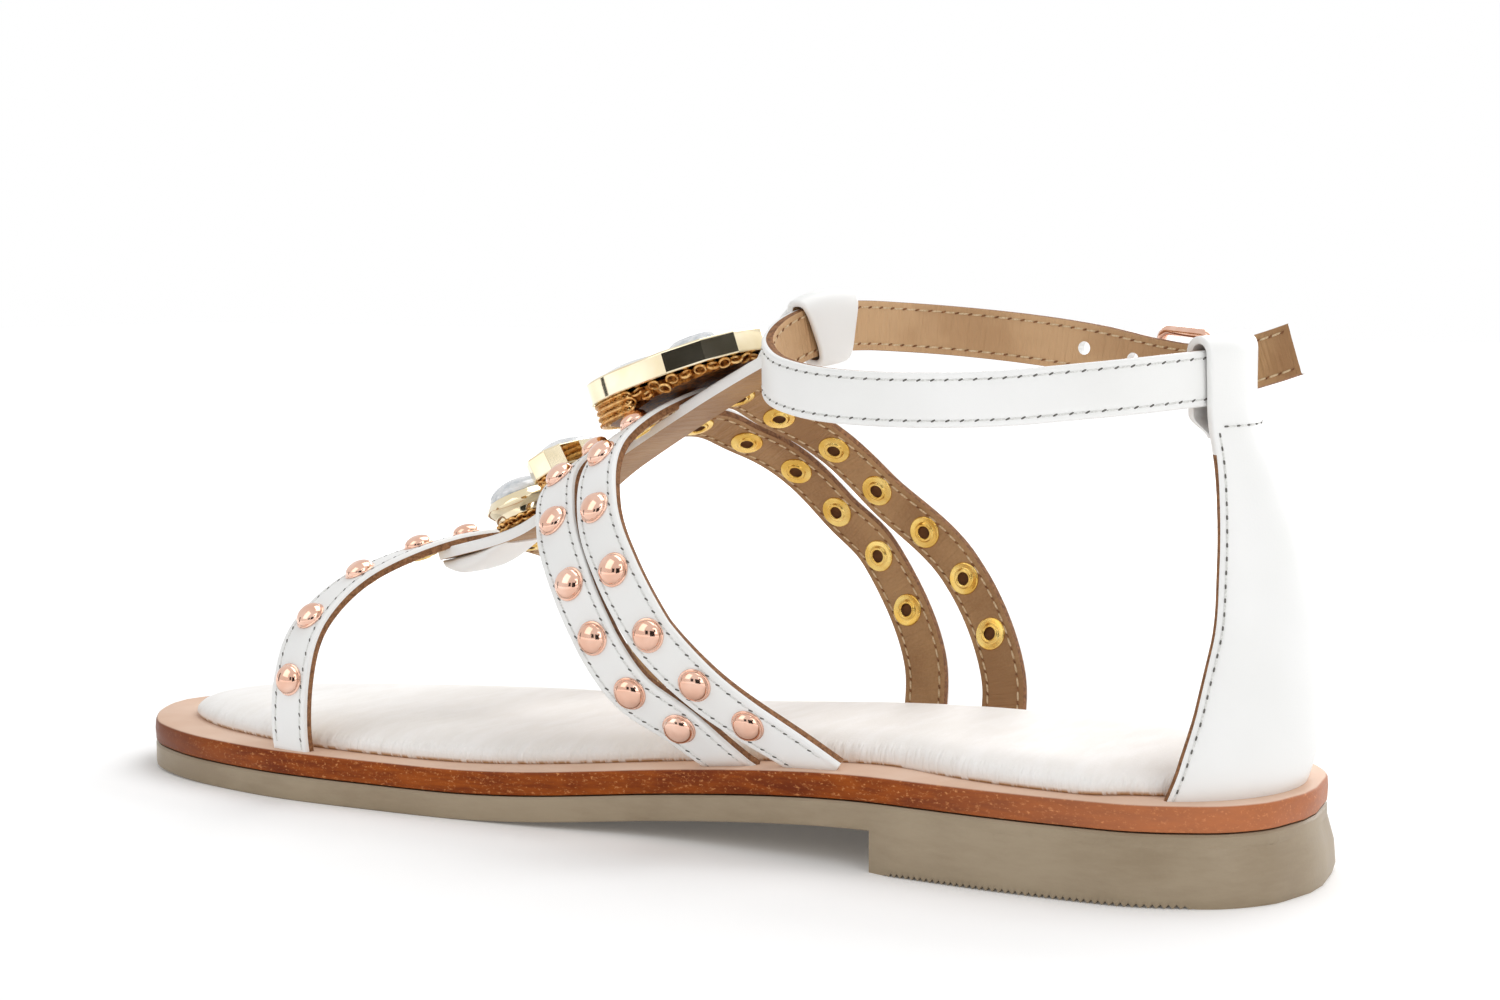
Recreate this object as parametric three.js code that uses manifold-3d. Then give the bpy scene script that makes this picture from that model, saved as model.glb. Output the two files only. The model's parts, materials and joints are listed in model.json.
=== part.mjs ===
// T-strap sandal for the right foot, in millimetres: toe towards -Y, heel towards +Y,
// the inner (medial) side of the foot towards +X, and the floor at Z = 0.
import * as THREE from 'three';
import { mergeVertices } from 'three/addons/utils/BufferGeometryUtils.js';
import Module from 'manifold-3d';

const wasm = await Module();
wasm.setup();

// Sole
const SOLE_LENGTH = 250;
const BALL_MEDIAL = 37.3;
const BALL_LATERAL = 43.6;
const RUBBER = 5.1;
const MIDSOLE = 4.6;
const HEEL_RISE = 7.15;
const TOE_SPRING = 0.9;
const HEEL_LENGTH = 68.4;
const HEEL_FLARE = 1.5;
const PAD_RIM = 7.2;
const PAD_EDGE = 2.6;
const PAD_CROWN = 2.2;
const PAD_ROLL = 14;
const MIDSOLE_BEVEL = 0.5;
const GAP = 0.3;

// Last that the straps are drawn over
const LAST_MEDIAL = 37;
const LAST_LATERAL = 42;
const BELLY_HEIGHT = 30;
const CREST_HEIGHT = 98;
const LAST_ROUNDNESS = 0.92;

// Straps
const STRAP_WALL = 2.2;
const TOE_STRAP_WIDTH = 8.8;
const BAND_WIDTH = 9;
const T_BAR_WIDTH = 14;
const T_BAR_TIP_WIDTH = 11;
const ANKLE_WIDTH = 9.3;
const ANKLE_WALL = 2.2;
const ANKLE_HALF = 28.4;
const ANKLE_DROP = 12;
const COUNTER_WALL = 2.2;
const COUNTER_HALF = 23.6;
const LOOP_WALL = 1.3;
const LOOP_SLACK = 0.6;
const T_LOOP_WIDTH = 10.5;
const T_LOOP_PLACE = 0.62;
const HEEL_LOOP_WIDTH = 17;
const HEEL_LOOP_PLACE = 0.933;

// Studs
const STUD_RADIUS = 3.15;
const STUD_RISE = 2.4;
const SHANK_RADIUS = 1.5;
const WASHER_RADIUS = 3.1;
const WASHER_RISE = 0.9;
const STUD_GAP = 0.3;
const SEAT_GAP = 0.18;
const BORE_GAP = 0.2;
const STUD_SIDES = 8;
const BORE_SIDES = 6;

// Ornaments
const SETTING_WALL = 1.2;
const SETTING_RISE = 4.4;
const POCKET_DEPTH = 2;
const CROWN_RISE = 2.2;
const FRONT_DIAMETER = 15.2;
const MIDDLE_LENGTH = 12;
const MIDDLE_WIDTH = 23;
const REAR_LENGTH = 38.5;
const REAR_WIDTH = 28;
const FRETWORK_INSET = 2.4;

// Buckle
const BUCKLE_WIRE = 1.9;
const BUCKLE_LENGTH = 13.5;
const BUCKLE_SLACK = 0.6;
const BUCKLE_CORNER = 2.4;
const BUCKLE_BEVEL = 0.3;
const BUCKLE_PLACE = 0.86;
const PRONG_WIRE = 1.4;
const HOLE_RADIUS = 1.25;
const HOLE_PITCH = 10.5;
const HOLES_AHEAD = 2;

// Widths of the sole as shares of the two ball half widths, from the toe tip to the heel
const SOLE_OUTLINE = [
  { at: 0.0, medial: 0.215, lateral: -0.145 },
  { at: 0.02, medial: 0.547, lateral: 0.124 },
  { at: 0.06, medial: 0.791, lateral: 0.362 },
  { at: 0.13, medial: 0.936, lateral: 0.619 },
  { at: 0.22, medial: 1.0, lateral: 0.851 },
  { at: 0.32, medial: 0.96, lateral: 1.0 },
  { at: 0.43, medial: 0.877, lateral: 1.0 },
  { at: 0.55, medial: 0.772, lateral: 0.872 },
  { at: 0.67, medial: 0.791, lateral: 0.755 },
  { at: 0.8, medial: 0.804, lateral: 0.702 },
  { at: 0.9, medial: 0.761, lateral: 0.658 },
  { at: 0.96, medial: 0.6, lateral: 0.54 },
  { at: 0.99, medial: 0.37, lateral: 0.33 },
  { at: 1.0, medial: 0.1, lateral: 0.05 },
];

// Rim of bare midsole left around the pad, as shares of PAD_RIM
const PAD_MARGIN = [
  { at: 0.0, medial: 1.35, lateral: 1.35 },
  { at: 0.13, medial: 1.05, lateral: 1.0 },
  { at: 0.32, medial: 0.66, lateral: 0.85 },
  { at: 0.47, medial: 1.1, lateral: 1.0 },
  { at: 0.6, medial: 1.15, lateral: 1.1 },
  { at: 0.71, medial: 1.3, lateral: 1.1 },
  { at: 0.8, medial: 0.7, lateral: 0.7 },
  { at: 0.88, medial: 0.5, lateral: 0.5 },
  { at: 0.915, medial: 0.87, lateral: 0.87 },
  { at: 1.0, medial: 0.95, lateral: 0.95 },
];

// Section of the pad from its foot to its crown: inset as a share of PAD_ROLL, and height as
// shares of PAD_EDGE and PAD_CROWN
const PAD_SECTION = [
  { inset: 0.03, edge: 0, crown: 0 },
  { inset: 0.0, edge: 0.35, crown: 0 },
  { inset: 0.036, edge: 0.8, crown: 0 },
  { inset: 0.13, edge: 1, crown: 0.25 },
  { inset: 0.43, edge: 1, crown: 0.7 },
  { inset: 1.0, edge: 1, crown: 1 },
];

// Sections of the last: half widths as shares of LAST_MEDIAL and LAST_LATERAL, the tuck of each
// side at the sole as a share of its half width, the widest level as a share of BELLY_HEIGHT
// above the midsole, and the crest as a share of CREST_HEIGHT above the floor
const LAST_SECTIONS = [
  { at: 0.05, medial: 0.41, lateral: 0.36, tuckMedial: 0.9, tuckLateral: 0.9, belly: 0.33, crest: 0.21 },
  { at: 0.14, medial: 0.81, lateral: 0.71, tuckMedial: 0.92, tuckLateral: 0.92, belly: 0.37, crest: 0.35 },
  { at: 0.22, medial: 0.985, lateral: 0.905, tuckMedial: 0.93, tuckLateral: 0.93, belly: 0.4, crest: 0.43 },
  { at: 0.29, medial: 1.0, lateral: 1.0, tuckMedial: 0.92, tuckLateral: 0.93, belly: 0.47, crest: 0.475 },
  { at: 0.36, medial: 0.985, lateral: 1.0, tuckMedial: 0.88, tuckLateral: 0.92, belly: 0.57, crest: 0.53 },
  { at: 0.44, medial: 0.97, lateral: 0.95, tuckMedial: 0.78, tuckLateral: 0.9, belly: 0.7, crest: 0.655 },
  { at: 0.52, medial: 0.97, lateral: 0.905, tuckMedial: 0.7, tuckLateral: 0.86, belly: 0.8, crest: 0.775 },
  { at: 0.6, medial: 0.92, lateral: 0.857, tuckMedial: 0.68, tuckLateral: 0.8, belly: 0.87, crest: 0.888 },
  { at: 0.68, medial: 0.865, lateral: 0.833, tuckMedial: 0.78, tuckLateral: 0.79, belly: 0.93, crest: 0.98 },
  { at: 0.8, medial: 0.838, lateral: 0.786, tuckMedial: 0.85, tuckLateral: 0.82, belly: 1.0, crest: 1.0 },
];

// Strap routes over the last: place along the sole, angle around the last (0 at the medial
// edge of the sole, 90 on the crest, 180 at the lateral edge) and lift in strap walls
const TOE_STRAP_ROUTE = [
  { at: 0.224, around: 0, lift: 0 },
  { at: 0.234, around: 21, lift: 0 },
  { at: 0.234, around: 45, lift: 0 },
  { at: 0.247, around: 65, lift: 0.3 },
  { at: 0.272, around: 80, lift: 0.5 },
  { at: 0.289, around: 97, lift: 0.5 },
  { at: 0.305, around: 118, lift: 0.1 },
  { at: 0.33, around: 143, lift: 0 },
  { at: 0.355, around: 180, lift: 0 },
];
const FRONT_BAND_ROUTE = [
  { at: 0.606, around: 0, lift: 0 },
  { at: 0.577, around: 12, lift: 0 },
  { at: 0.546, around: 20, lift: 0 },
  { at: 0.52, around: 31, lift: 0 },
  { at: 0.496, around: 41, lift: 0 },
  { at: 0.462, around: 57, lift: 0.15 },
  { at: 0.442, around: 75, lift: 1.0 },
  { at: 0.468, around: 88, lift: 1.1 },
  { at: 0.492, around: 101, lift: 1.0 },
  { at: 0.506, around: 113, lift: 0.1 },
  { at: 0.551, around: 138, lift: 0 },
  { at: 0.587, around: 148, lift: 0 },
  { at: 0.634, around: 168, lift: 0 },
  { at: 0.645, around: 180, lift: 0 },
];
const REAR_BAND_ROUTE = [
  { at: 0.683, around: 0, lift: 0 },
  { at: 0.633, around: 11, lift: 0 },
  { at: 0.597, around: 20.5, lift: 0 },
  { at: 0.563, around: 31, lift: 0 },
  { at: 0.533, around: 42, lift: 0 },
  { at: 0.504, around: 55, lift: 0.15 },
  { at: 0.488, around: 72, lift: 1.0 },
  { at: 0.503, around: 86, lift: 1.1 },
  { at: 0.53, around: 98, lift: 1.0 },
  { at: 0.54, around: 111, lift: 0.1 },
  { at: 0.592, around: 136, lift: 0 },
  { at: 0.666, around: 154, lift: 0 },
  { at: 0.706, around: 171, lift: 0 },
  { at: 0.714, around: 180, lift: 0 },
];
const T_BAR_ROUTE = [
  { at: 0.259, around: 90, lift: -0.65 },
  { at: 0.27, around: 90, lift: -0.45 },
  { at: 0.3, around: 90, lift: -0.45 },
  { at: 0.35, around: 90, lift: -0.5 },
  { at: 0.4, around: 90, lift: -0.2 },
  { at: 0.44, around: 90, lift: 0.12 },
  { at: 0.52, around: 90, lift: 0.2 },
  { at: 0.585, around: 90, lift: 0.15 },
  { at: 0.613, around: 90, lift: 0.15 },
];
// Front end of the T-bar, folded back under itself below the toe strap
const T_FOLD_ROUTE = [
  { at: 0.259, around: 90, lift: -0.95 },
  { at: 0.272, around: 90, lift: -1.4 },
  { at: 0.3, around: 90, lift: -1.42 },
  { at: 0.325, around: 90, lift: -1.3 },
  { at: 0.345, around: 90, lift: -0.9 },
];

// Ankle strap from the chape, through the heel loop, along the medial side, through the loop
// of the T-bar and back along the lateral side to its free end; across as a share of
// ANKLE_HALF, along as a share of the sole, high as a share of the height of its lower edge at
// the heel, which lies ANKLE_DROP below the last's top
const ANKLE_ROUTE = [
  { across: -0.71, at: 0.89, high: 1.0 },
  { across: -0.52, at: 0.91, high: 1.0 },
  { across: -0.28, at: 0.926, high: 1.0 },
  { across: 0.0, at: 0.933, high: 0.995 },
  { across: 0.32, at: 0.922, high: 0.99 },
  { across: 0.6, at: 0.899, high: 0.98 },
  { across: 0.8, at: 0.865, high: 0.968 },
  { across: 0.93, at: 0.815, high: 0.953 },
  { across: 0.985, at: 0.75, high: 0.946 },
  { across: 0.965, at: 0.695, high: 0.95 },
  { across: 0.88, at: 0.661, high: 0.96 },
  { across: 0.74, at: 0.634, high: 0.976 },
  { across: 0.56, at: 0.617, high: 1.002 },
  { across: 0.33, at: 0.613, high: 1.04 },
  { across: 0.0, at: 0.62, high: 1.072 },
  { across: -0.35, at: 0.631, high: 1.078 },
  { across: -0.64, at: 0.648, high: 1.073 },
  { across: -0.88, at: 0.682, high: 1.063 },
  { across: -1.0, at: 0.74, high: 1.045 },
  { across: -0.99, at: 0.79, high: 1.025 },
  { across: -0.93, at: 0.836, high: 1.0 },
  { across: -0.875, at: 0.87, high: 0.99 },
  { across: -0.85, at: 0.9, high: 0.998 },
  { across: -0.83, at: 0.925, high: 1.018 },
  { across: -0.8, at: 0.948, high: 1.04 },
];

// Heel counter: height as a share of the way from the sole to the ankle strap, half width and
// plan radius as shares of COUNTER_HALF, and the back of its arc as a share of the sole
const COUNTER_SECTIONS = [
  { rise: 0.0, half: 0.985, radius: 1.09, back: 0.988 },
  { rise: 0.1, half: 0.955, radius: 1.06, back: 0.996 },
  { rise: 0.24, half: 0.865, radius: 0.955, back: 1.0 },
  { rise: 0.38, half: 0.765, radius: 0.85, back: 0.999 },
  { rise: 0.56, half: 0.635, radius: 0.73, back: 0.988 },
  { rise: 0.74, half: 0.51, radius: 0.62, back: 0.973 },
  { rise: 0.86, half: 0.43, radius: 0.56, back: 0.96 },
  { rise: 1.0, half: 0.41, radius: 0.54, back: 0.953 },
];

// Ornaments along the T-bar: place, tilt in degrees, height of the setting above the crest and
// of its fretwork at the front and the rear in strap walls, and the number of wall panels
const ORNAMENTS = [
  {
    name: 'front', at: 0.353, tilt: 25, rise: 1.4, fret: [0.35, 0.35],
    length: FRONT_DIAMETER, width: FRONT_DIAMETER, sides: 20, square: 1,
  },
  {
    name: 'middle', at: 0.41, tilt: 30, rise: 2.4, fret: [0.75, 0.75],
    length: MIDDLE_LENGTH, width: MIDDLE_WIDTH, sides: 12, square: 0.75,
  },
  {
    name: 'rear', at: 0.514, tilt: 19, rise: 3.7, fret: [1.9, 0.4],
    length: REAR_LENGTH, width: REAR_WIDTH, sides: 14, square: 0.85,
  },
];

// Stones of each setting: centre and size as shares of its half length and half width
const STONES = [
  { setting: 'front', name: 'stone_front', along: 0, across: 0, length: 1, width: 1, dome: 1.6 },
  { setting: 'middle', name: 'stone_middle', along: 0, across: 0, length: 1, width: 1, dome: 0.9 },
  { setting: 'rear', name: 'stone_rear_large', along: -0.42, across: 0, length: 0.5, width: 0.82, dome: 1.3 },
  { setting: 'rear', name: 'stone_rear_medial', along: 0.42, across: 0.44, length: 0.36, width: 0.36, dome: 1.1 },
  { setting: 'rear', name: 'stone_rear_lateral', along: 0.42, across: -0.44, length: 0.36, width: 0.36, dome: 1.1 },
];

const smooth = (t) => t * t * (3 - 2 * t);
const clamp01 = (t) => Math.min(1, Math.max(0, t));

// Monotone cubic through the rows of a table, by the column named key
function column(rows, key, by = 'at') {
  const slopes = [];
  for (let i = 0; i < rows.length - 1; i++) {
    slopes.push((rows[i + 1][key] - rows[i][key]) / (rows[i + 1][by] - rows[i][by]));
  }
  const tangents = rows.map((_, i) => {
    if (i === 0) return slopes[0];
    if (i === rows.length - 1) return slopes[i - 1];
    const product = slopes[i - 1] * slopes[i];
    return product <= 0 ? 0 : (2 * product) / (slopes[i - 1] + slopes[i]);
  });
  return (at) => {
    const x = Math.min(rows[rows.length - 1][by], Math.max(rows[0][by], at));
    let i = 0;
    while (i < rows.length - 2 && x > rows[i + 1][by]) i++;
    const span = rows[i + 1][by] - rows[i][by];
    const t = (x - rows[i][by]) / span;
    const rise = rows[i + 1][key] - rows[i][key];
    const start = tangents[i] * span;
    const end = tangents[i + 1] * span;
    return rows[i][key] + t * start + t * t * (3 * rise - 2 * start - end)
      + t * t * t * (start + end - 2 * rise);
  };
}

const along = (at) => (at - 0.5) * SOLE_LENGTH;

// Height of the underside of the forepart and waist above the floor
function underside(at) {
  const spring = TOE_SPRING * Math.pow(clamp01((0.16 - at) / 0.16), 1.8);
  return spring + HEEL_RISE * smooth(clamp01((at - 0.36) / 0.38));
}
const rubberTop = (at) => underside(at) + RUBBER - GAP;
const midsoleBottom = (at) => underside(at) + RUBBER;
const midsoleTop = (at) => midsoleBottom(at) + MIDSOLE;

const soleMedial = column(SOLE_OUTLINE, 'medial');
const soleLateral = column(SOLE_OUTLINE, 'lateral');

// Closed plan outline between two places along the sole, medial side first
function outline(from, to, steps, margin) {
  const rows = [];
  for (let i = 0; i <= steps; i++) {
    const even = i / steps;
    const share = 0.35 * even + 0.65 * (0.5 - 0.5 * Math.cos(Math.PI * even));
    rows.push(from + (to - from) * share);
  }
  const medial = rows.map((at) => ({ at, side: 1, x: soleMedial(at) * BALL_MEDIAL, y: along(at) }));
  const lateral = rows.map((at) => ({ at, side: -1, x: -soleLateral(at) * BALL_LATERAL, y: along(at) }));
  const ring = [...medial, ...lateral.reverse()];
  return ring.map((point, i) => {
    const before = ring[(i + ring.length - 1) % ring.length];
    const after = ring[(i + 1) % ring.length];
    const length = Math.hypot(after.x - before.x, after.y - before.y);
    const inset = margin(point.at, point.side);
    return {
      at: point.at,
      x: point.x - ((after.y - before.y) / length) * inset,
      y: point.y + ((after.x - before.x) / length) * inset,
    };
  });
}

// Solid from rings of equal length, closed at each end by a ladder across the ring
function loft(rings) {
  const size = rings[0].length;
  const positions = rings.flat().flatMap((p) => [p.x, p.y, p.z]);
  const index = [];
  for (let r = 0; r < rings.length - 1; r++) {
    for (let i = 0; i < size; i++) {
      const a = r * size + i;
      const b = r * size + ((i + 1) % size);
      index.push(a, b, b + size, a, b + size, a + size);
    }
  }
  const top = (rings.length - 1) * size;
  for (let i = 0; i < size / 2 - 1; i++) {
    const j = size - 1 - i;
    index.push(i, j, j - 1, i, j - 1, i + 1);
    index.push(top + i, top + j - 1, top + j, top + i, top + i + 1, top + j - 1);
  }
  const geometry = new THREE.BufferGeometry();
  geometry.setAttribute('position', new THREE.Float32BufferAttribute(positions, 3));
  geometry.setIndex(index);
  return geometry;
}

function toSolid(geometry) {
  const bare = geometry.clone();
  bare.deleteAttribute('normal');
  bare.deleteAttribute('uv');
  const merged = mergeVertices(bare, 1e-4);
  const solid = new wasm.Manifold(new wasm.Mesh({
    numProp: 3,
    vertProperties: new Float32Array(merged.attributes.position.array),
    triVerts: new Uint32Array(merged.index.array),
  }));
  return solid;
}

function toGeometry(solid) {
  const mesh = solid.getMesh();
  const geometry = new THREE.BufferGeometry();
  geometry.setAttribute('position', new THREE.BufferAttribute(new Float32Array(mesh.vertProperties), 3));
  geometry.setIndex(new THREE.BufferAttribute(new Uint32Array(mesh.triVerts), 1));
  return geometry;
}

const joinAll = (solids) => solids.reduce((whole, solid) => whole.add(solid));

const sandal = new THREE.Group();
const FINISHES = {
  rubber: { color: 0xa5947a, roughness: 0.55, metalness: 0 },
  midsole: { color: 0x9c4a26, roughness: 0.4, metalness: 0 },
  lining: { color: 0xf1ede9, roughness: 0.6, metalness: 0 },
  leather: { color: 0xf4f4f2, roughness: 0.45, metalness: 0 },
  gold: { color: 0xe6cf9c, roughness: 0.15, metalness: 1 },
  mesh: { color: 0xa9773d, roughness: 0.35, metalness: 1 },
  stone: { color: 0xe8eef2, roughness: 0.05, metalness: 0 },
  rose: { color: 0xe9bfa5, roughness: 0.12, metalness: 1 },
};
function place(name, geometry, finish) {
  const mesh = new THREE.Mesh(geometry, new THREE.MeshStandardMaterial(FINISHES[finish]));
  mesh.name = name;
  sandal.add(mesh);
}

// Rubber outsole with the heel block under it
function makeOutsole() {
  const flat = () => 0;
  const sheetRing = (height) => outline(0, 1, 32, flat).map((p) => new THREE.Vector3(p.x, p.y, height(p.at)));
  const sheet = toSolid(loft([sheetRing(underside), sheetRing(rubberTop)]));
  const breast = 1 - HEEL_LENGTH / SOLE_LENGTH;
  const spread = (at) => -HEEL_FLARE * clamp01((at - breast) / 0.02);
  const foot = outline(breast, 1, 20, spread).map((p) => new THREE.Vector3(p.x, p.y, 0));
  const neck = outline(breast, 1, 20, flat).map((p) => (
    new THREE.Vector3(p.x, p.y, underside(p.at) + RUBBER / 2)));
  foot.forEach((p, i) => { if (Math.abs(neck[i].y - along(breast)) < 1e-6) p.y = neck[i].y; });
  const rubber = sheet.add(toSolid(loft([foot, neck])));
  place('outsole', toGeometry(rubber), 'rubber');
}

function makeMidsole() {
  const ring = (inset, height) => outline(0, 1, 32, () => inset)
    .map((p) => new THREE.Vector3(p.x, p.y, height(p.at)));
  place('midsole', loft([
    ring(0, midsoleBottom),
    ring(0, (at) => midsoleTop(at) - MIDSOLE_BEVEL),
    ring(MIDSOLE_BEVEL, midsoleTop),
  ]), 'midsole');
}

// Padded insole: straight sides, a rolled edge and a gently crowned top
const padMedial = column(PAD_MARGIN, 'medial');
const padLateral = column(PAD_MARGIN, 'lateral');
function makePad() {
  const margin = (at, side) => PAD_RIM * (side > 0 ? padMedial(at) : padLateral(at));
  const edge = outline(0, 1, 28, margin);
  const middle = (edge[0].y + edge[edge.length / 2].y) / 2;
  const size = edge.length;
  const ring = (inset, rise) => edge.map((p, i) => {
    const across = edge[size - 1 - i];
    const spine = (p.x + across.x) / 2;
    const shareX = 1 - inset / BALL_LATERAL;
    const shareY = 1 - (2 * inset) / SOLE_LENGTH;
    const y = middle + (p.y - middle) * shareY;
    const at = y / SOLE_LENGTH + 0.5;
    return new THREE.Vector3(spine + (p.x - spine) * shareX, y, midsoleTop(at) + rise);
  });
  place('insole_pad', loft(PAD_SECTION.map((row) => (
    ring(row.inset * PAD_ROLL, GAP + row.edge * PAD_EDGE + row.crown * PAD_CROWN)))), 'lining');
}

const lastColumns = Object.fromEntries(
  ['medial', 'lateral', 'tuckMedial', 'tuckLateral', 'belly', 'crest'].map((key) => (
    [key, column(LAST_SECTIONS, key)])));

// Point on the last at a place along the sole and an angle around it
function lastPoint(at, around) {
  const onMedial = around <= 90;
  const half = onMedial ? lastColumns.medial(at) * LAST_MEDIAL : -lastColumns.lateral(at) * LAST_LATERAL;
  const tuck = onMedial ? lastColumns.tuckMedial(at) : lastColumns.tuckLateral(at);
  const share = (onMedial ? around : 180 - around) / 90;
  const lowest = -Math.acos(tuck);
  const turn = lowest + (Math.PI / 2 - lowest) * share;
  const base = midsoleTop(at);
  const belly = base + lastColumns.belly(at) * BELLY_HEIGHT;
  const crest = lastColumns.crest(at) * CREST_HEIGHT;
  const level = Math.max(0, Math.cos(turn));
  const reach = turn > 0 ? Math.pow(level, LAST_ROUNDNESS) : level;
  const rise = turn > 0
    ? (crest - belly) * Math.sin(turn)
    : ((belly - base) * Math.sin(turn)) / Math.sin(-lowest);
  return new THREE.Vector3(half * reach, along(at), belly + rise);
}

function lastNormal(at, around) {
  const step = 0.002;
  const low = Math.max(0, around - 0.5);
  const high = Math.min(180, around + 0.5);
  const lengthwise = lastPoint(at + step, around).sub(lastPoint(at - step, around));
  const crosswise = lastPoint(at, high).sub(lastPoint(at, low));
  return lengthwise.cross(crosswise).normalize();
}

// Even steps along a route: position, outward normal, direction and width direction
function trace(points, normals, steps) {
  const lengths = [0];
  for (let i = 1; i < points.length; i++) lengths.push(lengths[i - 1] + points[i].distanceTo(points[i - 1]));
  const total = lengths[lengths.length - 1];
  const frameAt = (distance) => {
    let i = 0;
    while (i < points.length - 2 && lengths[i + 1] < distance) i++;
    const t = (distance - lengths[i]) / (lengths[i + 1] - lengths[i]);
    const point = points[i].clone().lerp(points[i + 1], t);
    const before = points[Math.max(0, i - 1)];
    const after = points[Math.min(points.length - 1, i + 2)];
    const ahead = after.clone().sub(before).normalize();
    const out = normals[i].clone().lerp(normals[i + 1], t).normalize();
    const side = new THREE.Vector3().crossVectors(ahead, out).normalize();
    out.crossVectors(side, ahead).normalize();
    return { point, ahead, side, out, distance };
  };
  const frames = [];
  for (let i = 0; i <= steps; i++) frames.push(frameAt((total * i) / steps));
  return { frames, frameAt, total };
}

function routeOverLast(rows, steps) {
  const guide = new THREE.CatmullRomCurve3(rows.map((row) => (
    new THREE.Vector3(row.at * 100, row.around / 3, row.lift * 4))));
  const points = [];
  const normals = [];
  const count = 16 * rows.length;
  for (let i = 0; i <= count; i++) {
    const p = guide.getPoint(i / count);
    const at = p.x / 100;
    const around = Math.min(180, Math.max(0, p.y * 3));
    const normal = lastNormal(at, around);
    points.push(lastPoint(at, around).addScaledVector(normal, (p.z / 4) * STRAP_WALL));
    normals.push(normal);
  }
  return trace(points, normals, steps);
}

// Flat strap swept along frames, lining side on the route, outer face slightly crowned
function strap(frames, widthAt, wall) {
  const softness = 0.16 * wall;
  const rings = frames.map((f, i) => {
    const half = widthAt(i / (frames.length - 1)) / 2;
    const profile = [
      [-half, 0], [half, 0], [half, wall - softness], [half - 2 * softness, wall],
      [-half + 2 * softness, wall], [-half, wall - softness],
    ];
    return profile.map(([across, up]) => (
      f.point.clone().addScaledVector(f.side, across).addScaledVector(f.out, up)));
  });
  return toSolid(loft(rings.reverse()));
}

// Straps run a little way into the midsole's level and are then cut level just above it
function extendEnds(route, reach) {
  const first = route.frames[0];
  const last = route.frames[route.frames.length - 1];
  const start = { ...first, point: first.point.clone().addScaledVector(first.ahead, -reach) };
  const end = { ...last, point: last.point.clone().addScaledVector(last.ahead, reach) };
  return [start, ...route.frames, end];
}

const toeStrap = routeOverLast(TOE_STRAP_ROUTE, 30);
const frontBand = routeOverLast(FRONT_BAND_ROUTE, 38);
const rearBand = routeOverLast(REAR_BAND_ROUTE, 38);
const tBar = routeOverLast(T_BAR_ROUTE, 20);
const tFold = routeOverLast(T_FOLD_ROUTE, 8);

function ankleRoute() {
  const guide = new THREE.CatmullRomCurve3(ANKLE_ROUTE.map((row) => (
    new THREE.Vector3(row.across * ANKLE_HALF, along(row.at), row.high * (CREST_HEIGHT - ANKLE_DROP)))));
  const points = guide.getPoints(8 * ANKLE_ROUTE.length);
  const up = new THREE.Vector3(0, 0, 1);
  const normals = points.map((_, i) => {
    const ahead = points[Math.min(points.length - 1, i + 1)].clone().sub(points[Math.max(0, i - 1)]);
    return ahead.cross(up).negate().normalize();
  });
  return trace(points, normals, 62);
}
const ankle = ankleRoute();

// Distance along the ankle strap where it comes nearest to a place in plan
function ankleDistance(x, y) {
  let best = ankle.frames[0];
  for (let d = 0; d <= ankle.total; d += 0.25) {
    const f = ankle.frameAt(d);
    if (Math.hypot(f.point.x - x, f.point.y - y) < Math.hypot(best.point.x - x, best.point.y - y)) best = f;
  }
  return best.distance;
}

// Sleeve around the ankle strap: a flat tube of leather with a clear passage
function sleeve(centre, width) {
  const steps = 8;
  const box = (slack, corner, reach) => {
    const rings = [];
    for (let i = 0; i <= steps; i++) {
      const f = ankle.frameAt(centre + (i / steps - 0.5) * (width + 2 * reach));
      const half = ANKLE_WIDTH / 2 + slack;
      const low = -slack;
      const high = ANKLE_WALL + slack;
      const profile = [
        [-half + corner, low], [half - corner, low], [half, low + corner], [half, high - corner],
        [half - corner, high], [-half + corner, high], [-half, high - corner], [-half, low + corner],
      ];
      rings.push(profile.map(([across, up]) => (
        f.point.clone().addScaledVector(f.side, across).addScaledVector(f.out, up))));
    }
    return toSolid(loft(rings.reverse()));
  };
  return { outer: box(LOOP_SLACK + LOOP_WALL, LOOP_WALL, 0), inner: box(LOOP_SLACK, LOOP_SLACK / 2, 2) };
}

const tLoopAt = ankleDistance(0, along(T_LOOP_PLACE));
const heelLoopAt = ankleDistance(0, along(HEEL_LOOP_PLACE));
const tLoop = sleeve(tLoopAt, T_LOOP_WIDTH);
const heelLoop = sleeve(heelLoopAt, HEEL_LOOP_WIDTH);

// The rear end of the T-bar is drawn to its sleeve, wherever the ankle strap carries that
function drawTo(route, target, from) {
  const last = route.frames.length - 1;
  const shift = target.clone().sub(route.frames[last].point);
  route.frames.forEach((f, i) => {
    f.point.addScaledVector(shift, smooth(clamp01((i / last - from) / (1 - from))));
  });
}
const loopSeat = ankle.frameAt(tLoopAt);
drawTo(tBar, new THREE.Vector3(0, -0.88 * ANKLE_WALL, -0.34 * ANKLE_WIDTH).add(loopSeat.point).setX(0), 0.94);

// Body of the midsole with its clearance, used to cut the strap ends level
function soleCutter() {
  const ring = (drop) => outline(0, 1, 32, () => -8)
    .map((p) => new THREE.Vector3(p.x, p.y, midsoleTop(p.at) + drop));
  return toSolid(loft([ring(-20), ring(GAP)]));
}

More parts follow.
